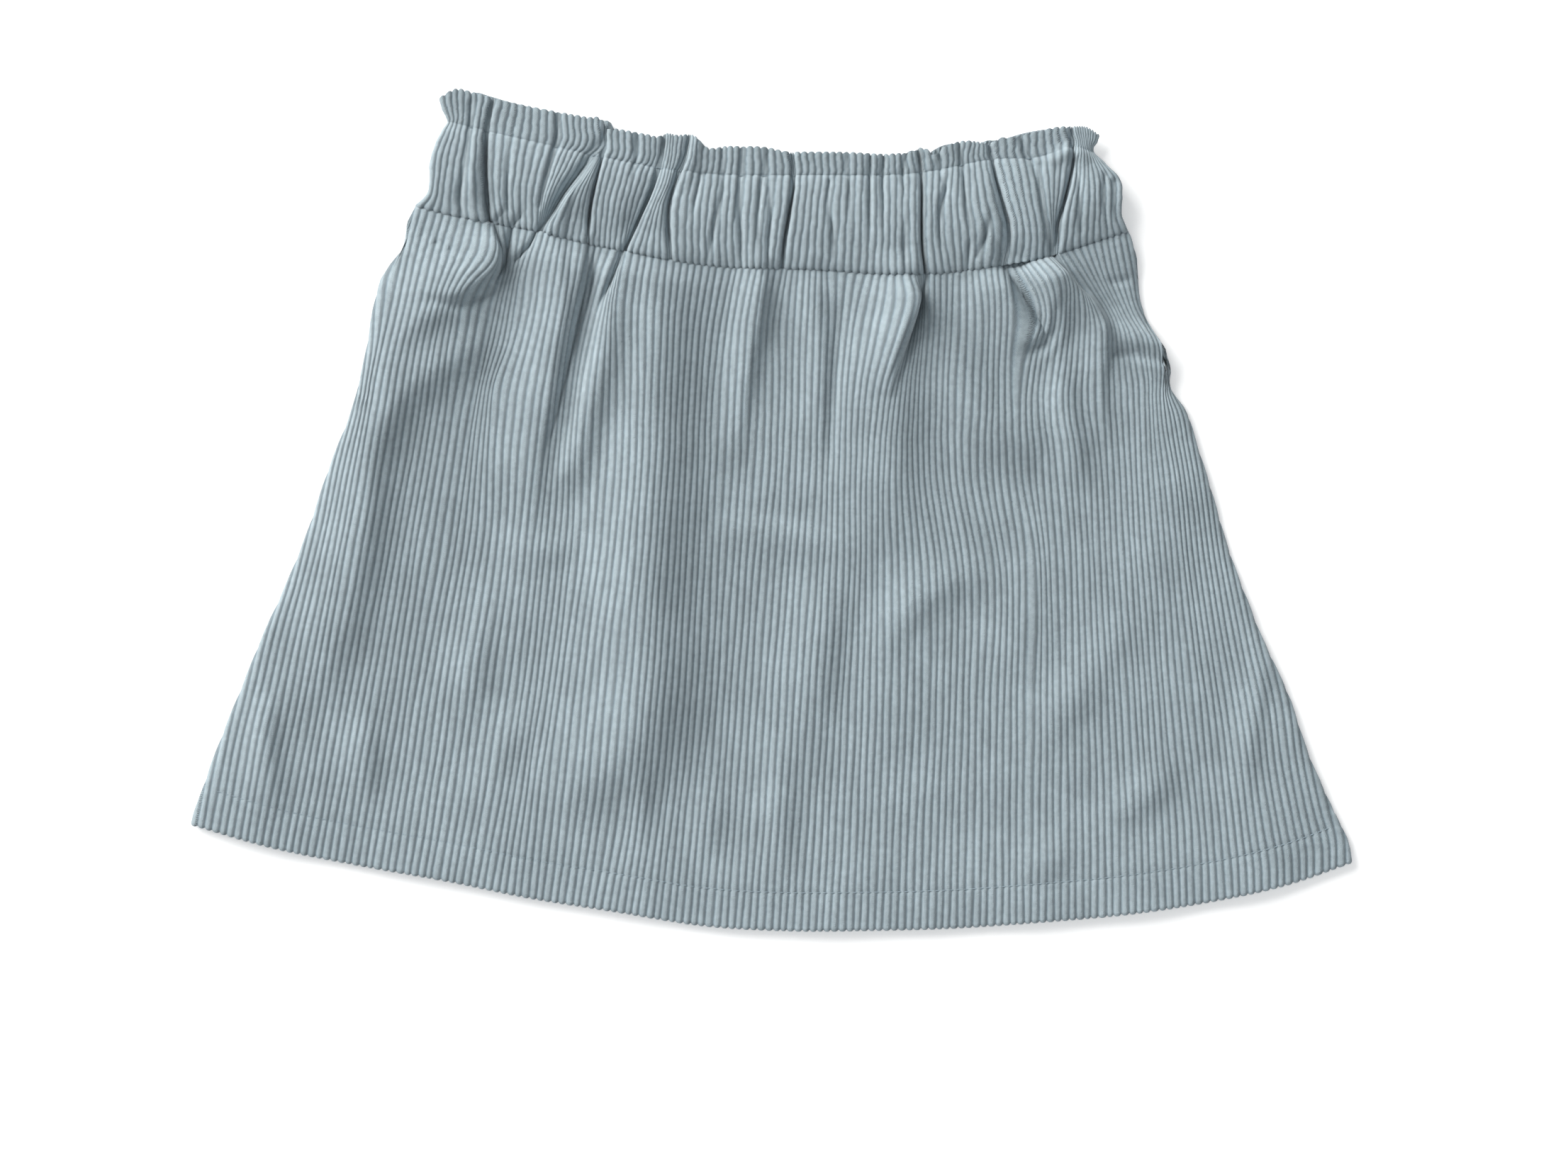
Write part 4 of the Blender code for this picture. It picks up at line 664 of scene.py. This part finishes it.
def band_line(across, up):
    """How far along the skirt a point of the band lies: seam at 0, stitch row at 1, frill's edge at 2."""
    seam_y = through(SEAM, mix(SEAM[0].across, SEAM[-1].across, across)) + PARTING / 2
    stitch_y = through(STITCH_ROW, mix(STITCH_ROW[0].across, STITCH_ROW[-1].across, across))
    top_y = through(FRILL_TOP, mix(FRILL_TOP[0].across, FRILL_TOP[-1].across, across))
    return np.where(up < 1, mix(seam_y, stitch_y, up), mix(stitch_y, top_y, up - 1))


def band_place(across, up, inset=0.0):
    """Where a point of the waistband lies, and how far it is from an end."""
    left_x = through(BAND_LEFT, band_line(np.zeros(np.shape(up)), up)) + inset
    right_x = through(BAND_RIGHT, band_line(np.ones(np.shape(up)), up)) - inset
    x = mix(left_x, right_x, across)
    return x, band_line(across, up), np.minimum(x - left_x, right_x - x)


def band_surface(across, up):
    """The front waistband's outside without its wales, puffed over the elastic and held at both seams."""
    x, y, from_end = band_place(across, up)
    seam_x, seam_y, _ = band_place(across, np.zeros(np.shape(up)))
    _, stitch_y, _ = band_place(across, np.ones(np.shape(up)))
    free = ease(up / SEAM_HOLD_SHARE)
    puff = BAND_PUFF * np.sin(np.pi * np.clip(up, 0, 1)) ** PUFF_ROUNDNESS
    casing = mix(BAND_SEAM, BAND_STITCH, up) + puff
    level = np.where(up < 1, casing, mix(BAND_STITCH, FRILL_EDGE, up - 1))
    level = level + (1 - free) * SEAM_HOLD * folded(PANEL_FOLDS, seam_x, seam_y)[2]
    level = level - groove(y - stitch_y) - SEAM_RADIUS * rolled(y - seam_y, SEAM_RADIUS)
    lean_x, lean_y, raised = folded(BAND_FOLDS, x, y)
    level = level + mix(SEAM_HOLD, 1, free) * raised
    return x + lean_x, y + lean_y, np.maximum(level, BAND_UNDER + BAND_LEAST) - ROLL_DROP * rolled(from_end)


def patch_shares(place, points, most):
    """The two shares at which a patch has each of these points, found by stepping towards them."""
    wanted_x, wanted_y = np.array(points, float).T
    across, level = np.full((2, len(points)), 0.5)
    for _ in range(PLACE_STEPS):
        x, y = place(across, level)[:2]
        x_beside = place(across + LEAST_STEP, level)[0]
        y_beyond = place(across, level + LEAST_STEP)[1]
        across = np.clip(across + (wanted_x - x) * LEAST_STEP / (x_beside - x), 0, 1)
        level = np.clip(level + (wanted_y - y) * LEAST_STEP / (y_beyond - y), 0, most)
    return across, level


def guided(guides, place, rows):
    """The share across at which each guide lies in each row."""
    left_x = place(np.zeros(len(rows)), rows)[0]
    right_x = place(np.ones(len(rows)), rows)[0]
    lines = []
    for each in guides:
        _, level = patch_shares(place, each.path, rows[-1])
        order = np.argsort(level)
        x = through(np.stack([level, np.array(each.path)[:, 0]], axis=1)[order], rows)
        lines.append((x - left_x) / (right_x - left_x))
    return np.array(lines).reshape(len(guides), len(rows)).T


def wandering(wales, rows, seed):
    """How far the valleys beside each wale stray, in wales, so that no two ribs run quite alike."""
    steady = np.random.default_rng(seed)
    valleys = np.arange(math.ceil(wales[-1]) + 1)
    strayed = np.zeros((len(rows), len(valleys)))
    for stray in STRAYS:
        phase = steady.uniform(0, 2 * np.pi, len(valleys))
        strayed += stray.size * np.sin(rows[:, None] * stray.waves + phase)
    return np.array([np.interp(wales, valleys, row) for row in strayed])


def wale_shares(guides, place, rows, wales_at, wales, seed):
    """The share of the way across at which each column of a wale lies in each row."""
    numbers = [each.wale for each in guides]
    strayed = wales + wandering(wales, rows, seed)
    shares = []
    for row, known, wanted in zip(rows, guided(guides, place, rows), strayed):
        first, last = wales_at(row)
        shares.append(np.interp(wanted, [first, *numbers, last], [0, *known, 1]))
    return np.array(shares)


def at_places(shares, rows, places):
    """The wales' shares read at each column's own places between the rows."""
    columns = [np.interp(place, rows, share) for place, share in zip(places.T, shares.T)]
    return np.array(columns).T


def panel_wales(down):
    """The first and last wale that reach this far up the A-line cut."""
    return LEFT_CORNER_WALES * (1 - down), HEM_WALES - RIGHT_CORNER_WALES * (1 - down)


def band_wales(_up):
    return 0, BAND_WALES


def row_places(spans):
    """All places where rows lie, evenly spaced within each span."""
    starts = [0.0, *(span.end for span in spans)]
    rows = [np.linspace(start, *span, endpoint=False) for start, span in zip(starts, spans)]
    return np.concatenate(rows + [starts[-1:]])


def rib_shape(wales):
    """0 in the valley beside a wale and 1 on its top."""
    return np.abs(np.sin(np.pi * wales)) ** RIB_ROUNDNESS


def rib_places(wales, places):
    """The columns of so many wales, each with the same places across it."""
    return np.append((np.arange(wales)[:, None] + np.array(places)).ravel(), wales)


def ribbed(points, wales, depth=RIB_HEIGHT):
    """The points moved out along their normals into a rounded rib for each wale, lower where squeezed."""
    across, along = np.gradient(points, wales, axis=1), np.gradient(points, axis=0)
    normal = np.cross(across, along)
    size = np.linalg.norm(normal, axis=2, keepdims=True)
    normal = np.where(size > LEAST_STEP**2, normal / np.maximum(size, LEAST_STEP**2), (0, 0, 1))
    width = np.linalg.norm(across, axis=2, keepdims=True) / WALE
    return points + normal * np.clip(width, 0, 1) * (depth * rib_shape(wales))[None, :, None]


def added(name, data):
    """A new object in the scene, of this mesh, light or camera."""
    thing = bpy.data.objects.new(name, data)
    bpy.context.scene.collection.objects.link(thing)
    return thing


def meshed(name, bm, material):
    """What has been built, as a mesh of this material."""
    mesh = bpy.data.meshes.new(name)
    bm.to_mesh(mesh)
    bm.free()
    mesh.materials.append(material)
    return mesh


def cloth(name, points, wales, depth, material, nodes):
    """A piece of cloth from rows of points, each of which has a column for each place in the wales."""
    points, wales = turned_under(points, wales, depth)
    lengths = cloth_lengths(points)
    rows, columns = points.shape[:2]
    bm = bmesh.new()
    bmesh.ops.create_grid(bm, x_segments=columns - 1, y_segments=rows - 1, size=0.5)
    mesh = meshed(name, bm, material)
    flat = np.empty(len(mesh.vertices) * 3)
    mesh.vertices.foreach_get("co", flat)
    flat = flat.reshape(-1, 3)
    column = np.rint((flat[:, 0] + 0.5) * (columns - 1)).astype(int)
    row = np.rint((flat[:, 1] + 0.5) * (rows - 1)).astype(int)
    points = np.concatenate([points[:, :, :2], np.maximum(points[:, :, 2:], 0)], axis=2)
    mesh.vertices.foreach_set("co", (points[row, column] * MM).ravel())
    corner = np.empty(len(mesh.loops), int)
    mesh.loops.foreach_get("vertex_index", corner)
    along_cloth = np.stack([wales[column] * WALE * MM, lengths[row, column] * MM], axis=1)
    uv = mesh.uv_layers.new(name="cloth")
    uv.data.foreach_set("uv", along_cloth[corner].ravel())
    mesh.shade_smooth()
    piece = added(name, mesh)
    mesh.update()
    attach(piece, "root")
    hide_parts(*nodes)
    return piece


def cloth_lengths(points):
    """How far along the cloth each point lies from its column's first one."""
    steps = np.linalg.norm(np.diff(points, axis=0), axis=2)
    return np.concatenate([np.zeros((1, points.shape[1])), np.cumsum(steps, axis=0)])


def turned_under(points, wales, depth):
    """The same points with the cloth's thickness added all round, and a strip of its inside."""
    thickness = np.array((0, 0, depth))
    under = points - thickness
    rows, columns = LIP_ROWS, LIP_COLUMNS
    points = np.concatenate([under[rows:rows + 1], under[:1], points, under[-1:], under[-1 - rows:-rows]])
    beneath = points - thickness
    beneath[:2], beneath[-2:] = points[:2], points[-2:]
    left = (beneath[:, columns:columns + 1], beneath[:, :1])
    right = (beneath[:, -1:], beneath[:, -1 - columns:-columns])
    return np.concatenate((*left, points, *right), axis=1), np.pad(wales, 2, mode="edge")


def starts_down(wales):
    """How far down the side seams each column begins, since the A-line cut shortens the outer wales."""
    left = (LEFT_CORNER_WALES - wales) / LEFT_CORNER_WALES
    right = (wales - HEM_WALES + RIGHT_CORNER_WALES) / RIGHT_CORNER_WALES
    return np.clip(np.maximum(left, right), 0, LAST_START)


def panel_rows(wales, spans):
    """Each column's own rows, closed up where it starts lower."""
    starts = starts_down(wales)
    rows = row_places(spans)
    hem_start = np.maximum(HEM_ROWS_START, starts)
    upper = mix(starts, hem_start, np.clip(rows / HEM_ROWS_START, 0, 1)[:, None])
    lower = np.clip((rows - HEM_ROWS_START) / (1 - HEM_ROWS_START), 0, 1)[:, None]
    return mix(upper, 1, lower)


def panel_shares(guides, wales, down, seed):
    """The share of the way across the panel at which each column lies, at its own places down."""
    rows = np.linspace(0, 1, SPACING_ROWS)
    return at_places(wale_shares(guides, panel_place, rows, panel_wales, wales, seed), rows, down)


def band_shares(guides, wales, up, seed):
    """The share of the way across the waistband at which each column lies, at its own places up."""
    rows = np.linspace(0, 2, SPACING_ROWS)
    return at_places(wale_shares(guides, band_place, rows, band_wales, wales, seed), rows, up)


def front_panel(material, thread):
    wales = rib_places(HEM_WALES, PANEL_RIB_COLUMNS)
    down = panel_rows(wales, PANEL_ROW_SPANS)
    shares = panel_shares(PANEL_GUIDES, wales, down, FRONT_PANEL_SEED)
    points = ribbed(np.stack(panel_surface(shares, down), axis=2)[::-1], wales)
    at_hem = ease((down[::-1] - (1 - SERRATED_HEM)) / SERRATED_HEM)
    points[:, :, 1] -= HEM_SERRATION * rib_shape(wales) * at_hem
    piece = cloth("front_panel_corduroy", points, wales, CLOTH, material, ["front_panel"])
    x, y, z = panel_surface(*hem_row(PANEL_GUIDES, FRONT_PANEL_SEED))
    hem = stitches("front_hem_stitches", (x, y, z + THREAD_LIFT), thread)


def front_waistband(material, thread):
    wales = rib_places(BAND_WALES, BAND_RIB_COLUMNS)
    up = np.repeat(row_places(BAND_ROW_SPANS)[:, None], len(wales), axis=1)
    shares = band_shares(BAND_GUIDES, wales, up, FRONT_BAND_SEED)
    points = ribbed(np.stack(band_surface(shares, up), axis=2), wales)
    at_frill = ease((up - (2 - SERRATED_FRILL)) / SERRATED_FRILL)
    at_seam = ease((SERRATED_SEAM - up) / SERRATED_SEAM)
    points[:, :, 1] += FRILL_SERRATION * rib_shape(wales) * at_frill
    points[:, :, 1] -= SEAM_SERRATION * rib_shape(wales) * at_seam
    piece = cloth("front_waistband_corduroy", points, wales, CLOTH, material,
                  ["front_waistband"])
    x, y, z = band_surface(*frill_row(BAND_GUIDES, FRONT_BAND_SEED))
    casing_row = stitches("front_casing_stitches", (x, y, z + THREAD_LIFT), thread)


def stitches(name, places, material):
    """A row of stitches, each a short thread from one place to just before the next."""
    points = np.stack(places, axis=2)[0]
    bm = bmesh.new()
    for start, end in zip(points[:-1], points[1:]):
        run = Vector(end - start) * MM
        made = bmesh.ops.create_uvsphere(bm, u_segments=6, v_segments=4, radius=THREAD_RADIUS * MM)["verts"]
        stretch = Matrix.Diagonal((1, 1, STITCH_SHARE * run.length / (2 * THREAD_RADIUS * MM), 1))
        turn = run.to_track_quat("Z", "Y").to_matrix().to_4x4()
        place = Matrix.Translation(Vector(mix(start, end, 0.5)) * MM)
        bmesh.ops.transform(bm, matrix=place @ turn @ stretch, verts=made)
    mesh = meshed(name, bm, material)
    mesh.shade_smooth()
    piece = added(name, mesh)
    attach(piece, "root")
    return piece


def hem_row(guides, seed, inset=0.0):
    """Shares across and down of the valleys between wales, where the hem's row of stitches crosses them."""
    wales = np.arange(STITCH_MARGIN, HEM_WALES - STITCH_MARGIN + 1.0)
    down = np.full((1, len(wales)), HEM_ROWS_START)
    across = panel_shares(guides, wales, down, seed)
    return across, 1 - HEM_DEPTH / panel_place(across, down, inset)[3]


def frill_row(guides, seed):
    """Shares across and up of the valleys between wales, where the casing's stitches cross them."""
    wales = np.arange(STITCH_MARGIN, BAND_WALES - STITCH_MARGIN + 1.0)
    up = np.ones((1, len(wales)))
    return band_shares(guides, wales, up, seed), up


def mirrored(folds):
    """The same folds as they would lie on the other side of the skirt."""
    turned = []
    for each in folds:
        path = tuple(FoldPoint(-point.across, point.along, point.height) for point in each.path)
        turned.append(Fold(each.name, each.down_right, each.up_left, 0, path))
    return turned


def pressed(folds, x, y, share):
    """How far the back's creases rise off the floor that they lie on."""
    return np.clip(share * folded(mirrored(folds), x, y)[2], 0, BACK_CREASE)


def back_panel(material, thread):
    wales = rib_places(HEM_WALES, BACK_RIB_COLUMNS)
    down = panel_rows(wales, BACK_ROW_SPANS)
    shares = panel_shares((), wales, down, BACK_PANEL_SEED)
    x, y, _, length = panel_place(shares, down, BACK_INSET)
    y = y + BACK_HEM_INSET * down
    level = BACK_VALLEY + pressed(PANEL_FOLDS, x, y, BACK_PANEL_PRESS)
    level = level + groove(length * (1 - down) - HEM_DEPTH)
    points = ribbed(np.stack([x, y, level], axis=2), wales, BACK_VALLEY)
    piece = cloth("back_panel_corduroy", points, wales, -BACK_RIM, material, ["back_panel"])
    across, down = hem_row((), BACK_PANEL_SEED, BACK_INSET)
    x, y, _, _ = panel_place(across, down, BACK_INSET)
    y = y + BACK_HEM_INSET * down
    hem = stitches("back_hem_stitches", (x, y, np.full(x.shape, THREAD_RADIUS)), thread)


def back_waistband(material, thread):
    wales = rib_places(BAND_WALES, BACK_RIB_COLUMNS)
    up = np.repeat(row_places(BACK_BAND_ROW_SPANS)[:, None], len(wales), axis=1)
    shares = band_shares((), wales, up, BACK_BAND_SEED)
    x, y, _ = band_place(shares, up, BACK_INSET)
    wave = BACK_FRILL_WAVE / 2 * (1 - np.cos(2 * np.pi * BACK_FRILL_WAVES * shares)) * ease(up - 1)
    level = BACK_VALLEY + wave + pressed(BAND_FOLDS, x, y, BACK_BAND_PRESS)
    points = ribbed(np.stack([x, y, level], axis=2)[::-1], wales, BACK_VALLEY)
    piece = cloth("back_waistband_corduroy", points, wales, -BACK_RIM, material,
                  ["back_waistband"])
    x, y, _ = band_place(*frill_row((), BACK_BAND_SEED), BACK_INSET)
    row = (x, y, np.full(x.shape, THREAD_RADIUS))
    casing_row = stitches("back_casing_stitches", row, thread)


def number(tree, operation, *inputs):
    """A Math node whose inputs are other nodes' outputs or plain numbers."""
    node = tree.nodes.new("ShaderNodeMath")
    node.operation = operation
    for socket, value in zip(node.inputs, inputs):
        if isinstance(value, bpy.types.NodeSocket):
            tree.links.new(value, socket)
        else:
            socket.default_value = value
    return node.outputs[0]


def between(tree, value, lowest, highest, first, last):
    """A value eased from first to last while the input goes from lowest to highest."""
    node = tree.nodes.new("ShaderNodeMapRange")
    node.interpolation_type = "SMOOTHSTEP"
    tree.links.new(value, node.inputs["Value"])
    for socket, amount in zip(node.inputs[1:5], (lowest, highest, first, last)):
        socket.default_value = amount
    return node.outputs["Result"]


def cloudy(tree, place, noise):
    """Noise from 0 to 1 at this place."""
    stretched = tree.nodes.new("ShaderNodeMapping")
    stretched.inputs["Scale"].default_value = noise.stretch
    tree.links.new(place, stretched.inputs["Vector"])
    clouds = tree.nodes.new("ShaderNodeTexNoise")
    clouds.inputs["Scale"].default_value = 1 / noise.grain
    clouds.inputs["Detail"].default_value = noise.detail
    tree.links.new(stretched.outputs["Vector"], clouds.inputs["Vector"])
    return clouds.outputs["Fac"]


def mottled(tree, place, mottle):
    """A shade that wanders a little to either side of 1."""
    clouds = cloudy(tree, place, mottle.noise)
    return between(tree, clouds, mottle.low, mottle.high, mottle.darkest, mottle.brightest)


def waved(tree, value):
    """0 wherever the value is a whole number, and 1 halfway between."""
    return number(tree, "MULTIPLY", number(tree, "PINGPONG", value, 0.5), 2.0)


def plain_material(name, roughness):
    """A new material and its shader."""
    material = bpy.data.materials.new(name)
    material.use_nodes = True
    shader = material.node_tree.nodes["Principled BSDF"]
    shader.inputs["Roughness"].default_value = roughness
    return material, shader


def tinted(tree, colour, shade, shader):
    """The shader's colour set to this colour, or this socket's, times a shade."""
    tint = tree.nodes.new("ShaderNodeVectorMath")
    tint.operation = "SCALE"
    if isinstance(colour, bpy.types.NodeSocket):
        tree.links.new(colour, tint.inputs[0])
    else:
        tint.inputs[0].default_value = colour
    tree.links.new(shade, tint.inputs["Scale"])
    tree.links.new(tint.outputs["Vector"], shader.inputs["Base Color"])


def corduroy(name, valley_colour_with_painted_shade, wale_colour):
    """Cut-pile corduroy: valleys darker and bluer, partly for the bare ground cloth and partly as painted
    shade; tufts along each wale, drawn as dark ticks on the right flank only, which is painted shade; and a
    nap that lies unevenly.
    """
    material, shader = plain_material(name, 0.92)
    tree = material.node_tree
    shader.inputs["Specular IOR Level"].default_value = 0.25
    shader.inputs["Sheen Weight"].default_value = 0.2
    shader.inputs["Sheen Roughness"].default_value = 0.5
    weave = tree.nodes.new("ShaderNodeUVMap")
    weave.uv_map = "cloth"
    split = tree.nodes.new("ShaderNodeSeparateXYZ")
    tree.links.new(weave.outputs["UV"], split.inputs["Vector"])
    place = tree.nodes.new("ShaderNodeTexCoord").outputs["Object"]
    strayed = number(tree, "SUBTRACT", cloudy(tree, place, WALE_NOISE), 0.5)
    rough = number(tree, "MULTIPLY", strayed, WALE_RAGGEDNESS)
    wale = number(tree, "ADD", number(tree, "DIVIDE", split.outputs["X"], WALE * MM), rough)
    top = waved(tree, wale)
    across = number(tree, "FRACT", wale)
    # Painted shade: the right flank of each wale, the side turned from the window, is darkened in tuft
    # ticks.
    shaded = between(tree, across, *SHADED_FLANK, 0, 1)
    painted_shade_flank = number(tree, "MULTIPLY", shaded, between(tree, across, *FLANK_FOOT, 1, FOOT_SHARE))
    ragged = number(tree, "MULTIPLY", cloudy(tree, place, TUFT_NOISE), TUFT_RAGGEDNESS)
    tuft = number(tree, "ADD", number(tree, "DIVIDE", split.outputs["Y"], TUFT * MM), ragged)
    tuft = number(tree, "ADD", tuft, number(tree, "MULTIPLY", top, TUFT_SLANT))
    tick = waved(tree, tuft)
    painted_flank_shade_ticks = number(tree, "MULTIPLY", number(tree, "MULTIPLY", tick, painted_shade_flank), PAINTED_TICK_SHADE)
    shade = number(tree, "SUBTRACT", 1.0, painted_flank_shade_ticks)
    for spot, mottle in ((place, NAP), (place, FINE_NAP), (weave.outputs["UV"], STREAKS)):
        shade = number(tree, "MULTIPLY", shade, mottled(tree, spot, mottle))
    # Painted shade: the valleys take the darker, bluer valley colour, which stands partly for the bare
    # ground cloth and partly for shade.
    pile_colour_with_painted_valley_shade = tree.nodes.new("ShaderNodeMixRGB")
    pile_colour_with_painted_valley_shade.inputs["Color1"].default_value = (*valley_colour_with_painted_shade, 1)
    pile_colour_with_painted_valley_shade.inputs["Color2"].default_value = (*wale_colour, 1)
    tree.links.new(between(tree, top, 0, VALLEY_FADE, 0, 1), pile_colour_with_painted_valley_shade.inputs["Fac"])
    tinted(tree, pile_colour_with_painted_valley_shade.outputs["Color"], shade, shader)
    relief = number(tree, "MULTIPLY", tick, TICK_RELIEF)
    pile = number(tree, "ADD", cloudy(tree, place, PILE_NOISE), relief)
    bump = tree.nodes.new("ShaderNodeBump")
    bump.inputs["Strength"].default_value = 0.5
    bump.inputs["Distance"].default_value = PILE_HEIGHT * MM
    tree.links.new(pile, bump.inputs["Height"])
    tree.links.new(bump.outputs["Normal"], shader.inputs["Normal"])
    return material


def sewing_thread(name, colour):
    """Twisted cotton thread, a little uneven in colour."""
    material, shader = plain_material(name, 0.7)
    tree = material.node_tree
    place = tree.nodes.new("ShaderNodeTexCoord").outputs["Object"]
    tinted(tree, colour, mottled(tree, place, THREAD_TWIST), shader)
    return material


def white_floor():
    bm = bmesh.new()
    bmesh.ops.create_grid(bm, x_segments=1, y_segments=1, size=FLOOR_REACH)
    material, shader = plain_material("white_paper", 0.8)
    shader.inputs["Base Color"].default_value = (0.93, 0.93, 0.93, 1)
    shader.inputs["Emission Color"].default_value = (1, 1, 1, 1)
    shader.inputs["Emission Strength"].default_value = FLOOR_GLOW
    floor = added("floor", meshed("floor", bm, material))


def camera():
    data = bpy.data.cameras.new("camera")
    data.lens = LENS
    data.sensor_width = SENSOR
    view = added("camera", data)
    view.location = PHOTO_MIDDLE + Vector((0, 0, PIXEL * PHOTO_WIDTH * LENS / SENSOR + CLOTH_LEVEL))
    view.rotation_euler = (0, 0, PHOTO_TURN)
    bpy.context.scene.camera = view


def soft_light(name, place, size, power, colour):
    data = bpy.data.lights.new(name, "AREA")
    data.size = size
    data.energy = power
    data.color = colour
    light = added(name, data)
    light.location = place
    light.rotation_euler = (-Vector(place)).to_track_quat("-Z", "Y").to_euler()


def lights():
    world = bpy.context.scene.world or bpy.data.worlds.new("studio")
    bpy.context.scene.world = world
    world.use_nodes = True
    sky = world.node_tree.nodes["Background"]
    sky.inputs["Color"].default_value = SKY_COLOUR
    sky.inputs["Strength"].default_value = SKY_STRENGTH
    soft_light("window", (-4.2, 3.5, 2.5), 4, 605, (1.0, 0.99, 0.97))
    soft_light("reflector", (0.1, -0.9, 0.45), 0.5, 0.8, (1, 1, 1))


def main():
    bpy.context.scene.view_settings.view_transform = "Standard"
    camera()
    lights()
    white_floor()
    blue = corduroy("blue_corduroy", VALLEY_COLOUR_WITH_PAINTED_SHADE, WALE_COLOUR)
    thread = sewing_thread("blue_thread", THREAD_COLOUR)
    back_panel(blue, thread)
    back_waistband(blue, thread)
    front_panel(blue, thread)
    front_waistband(blue, thread)


main()
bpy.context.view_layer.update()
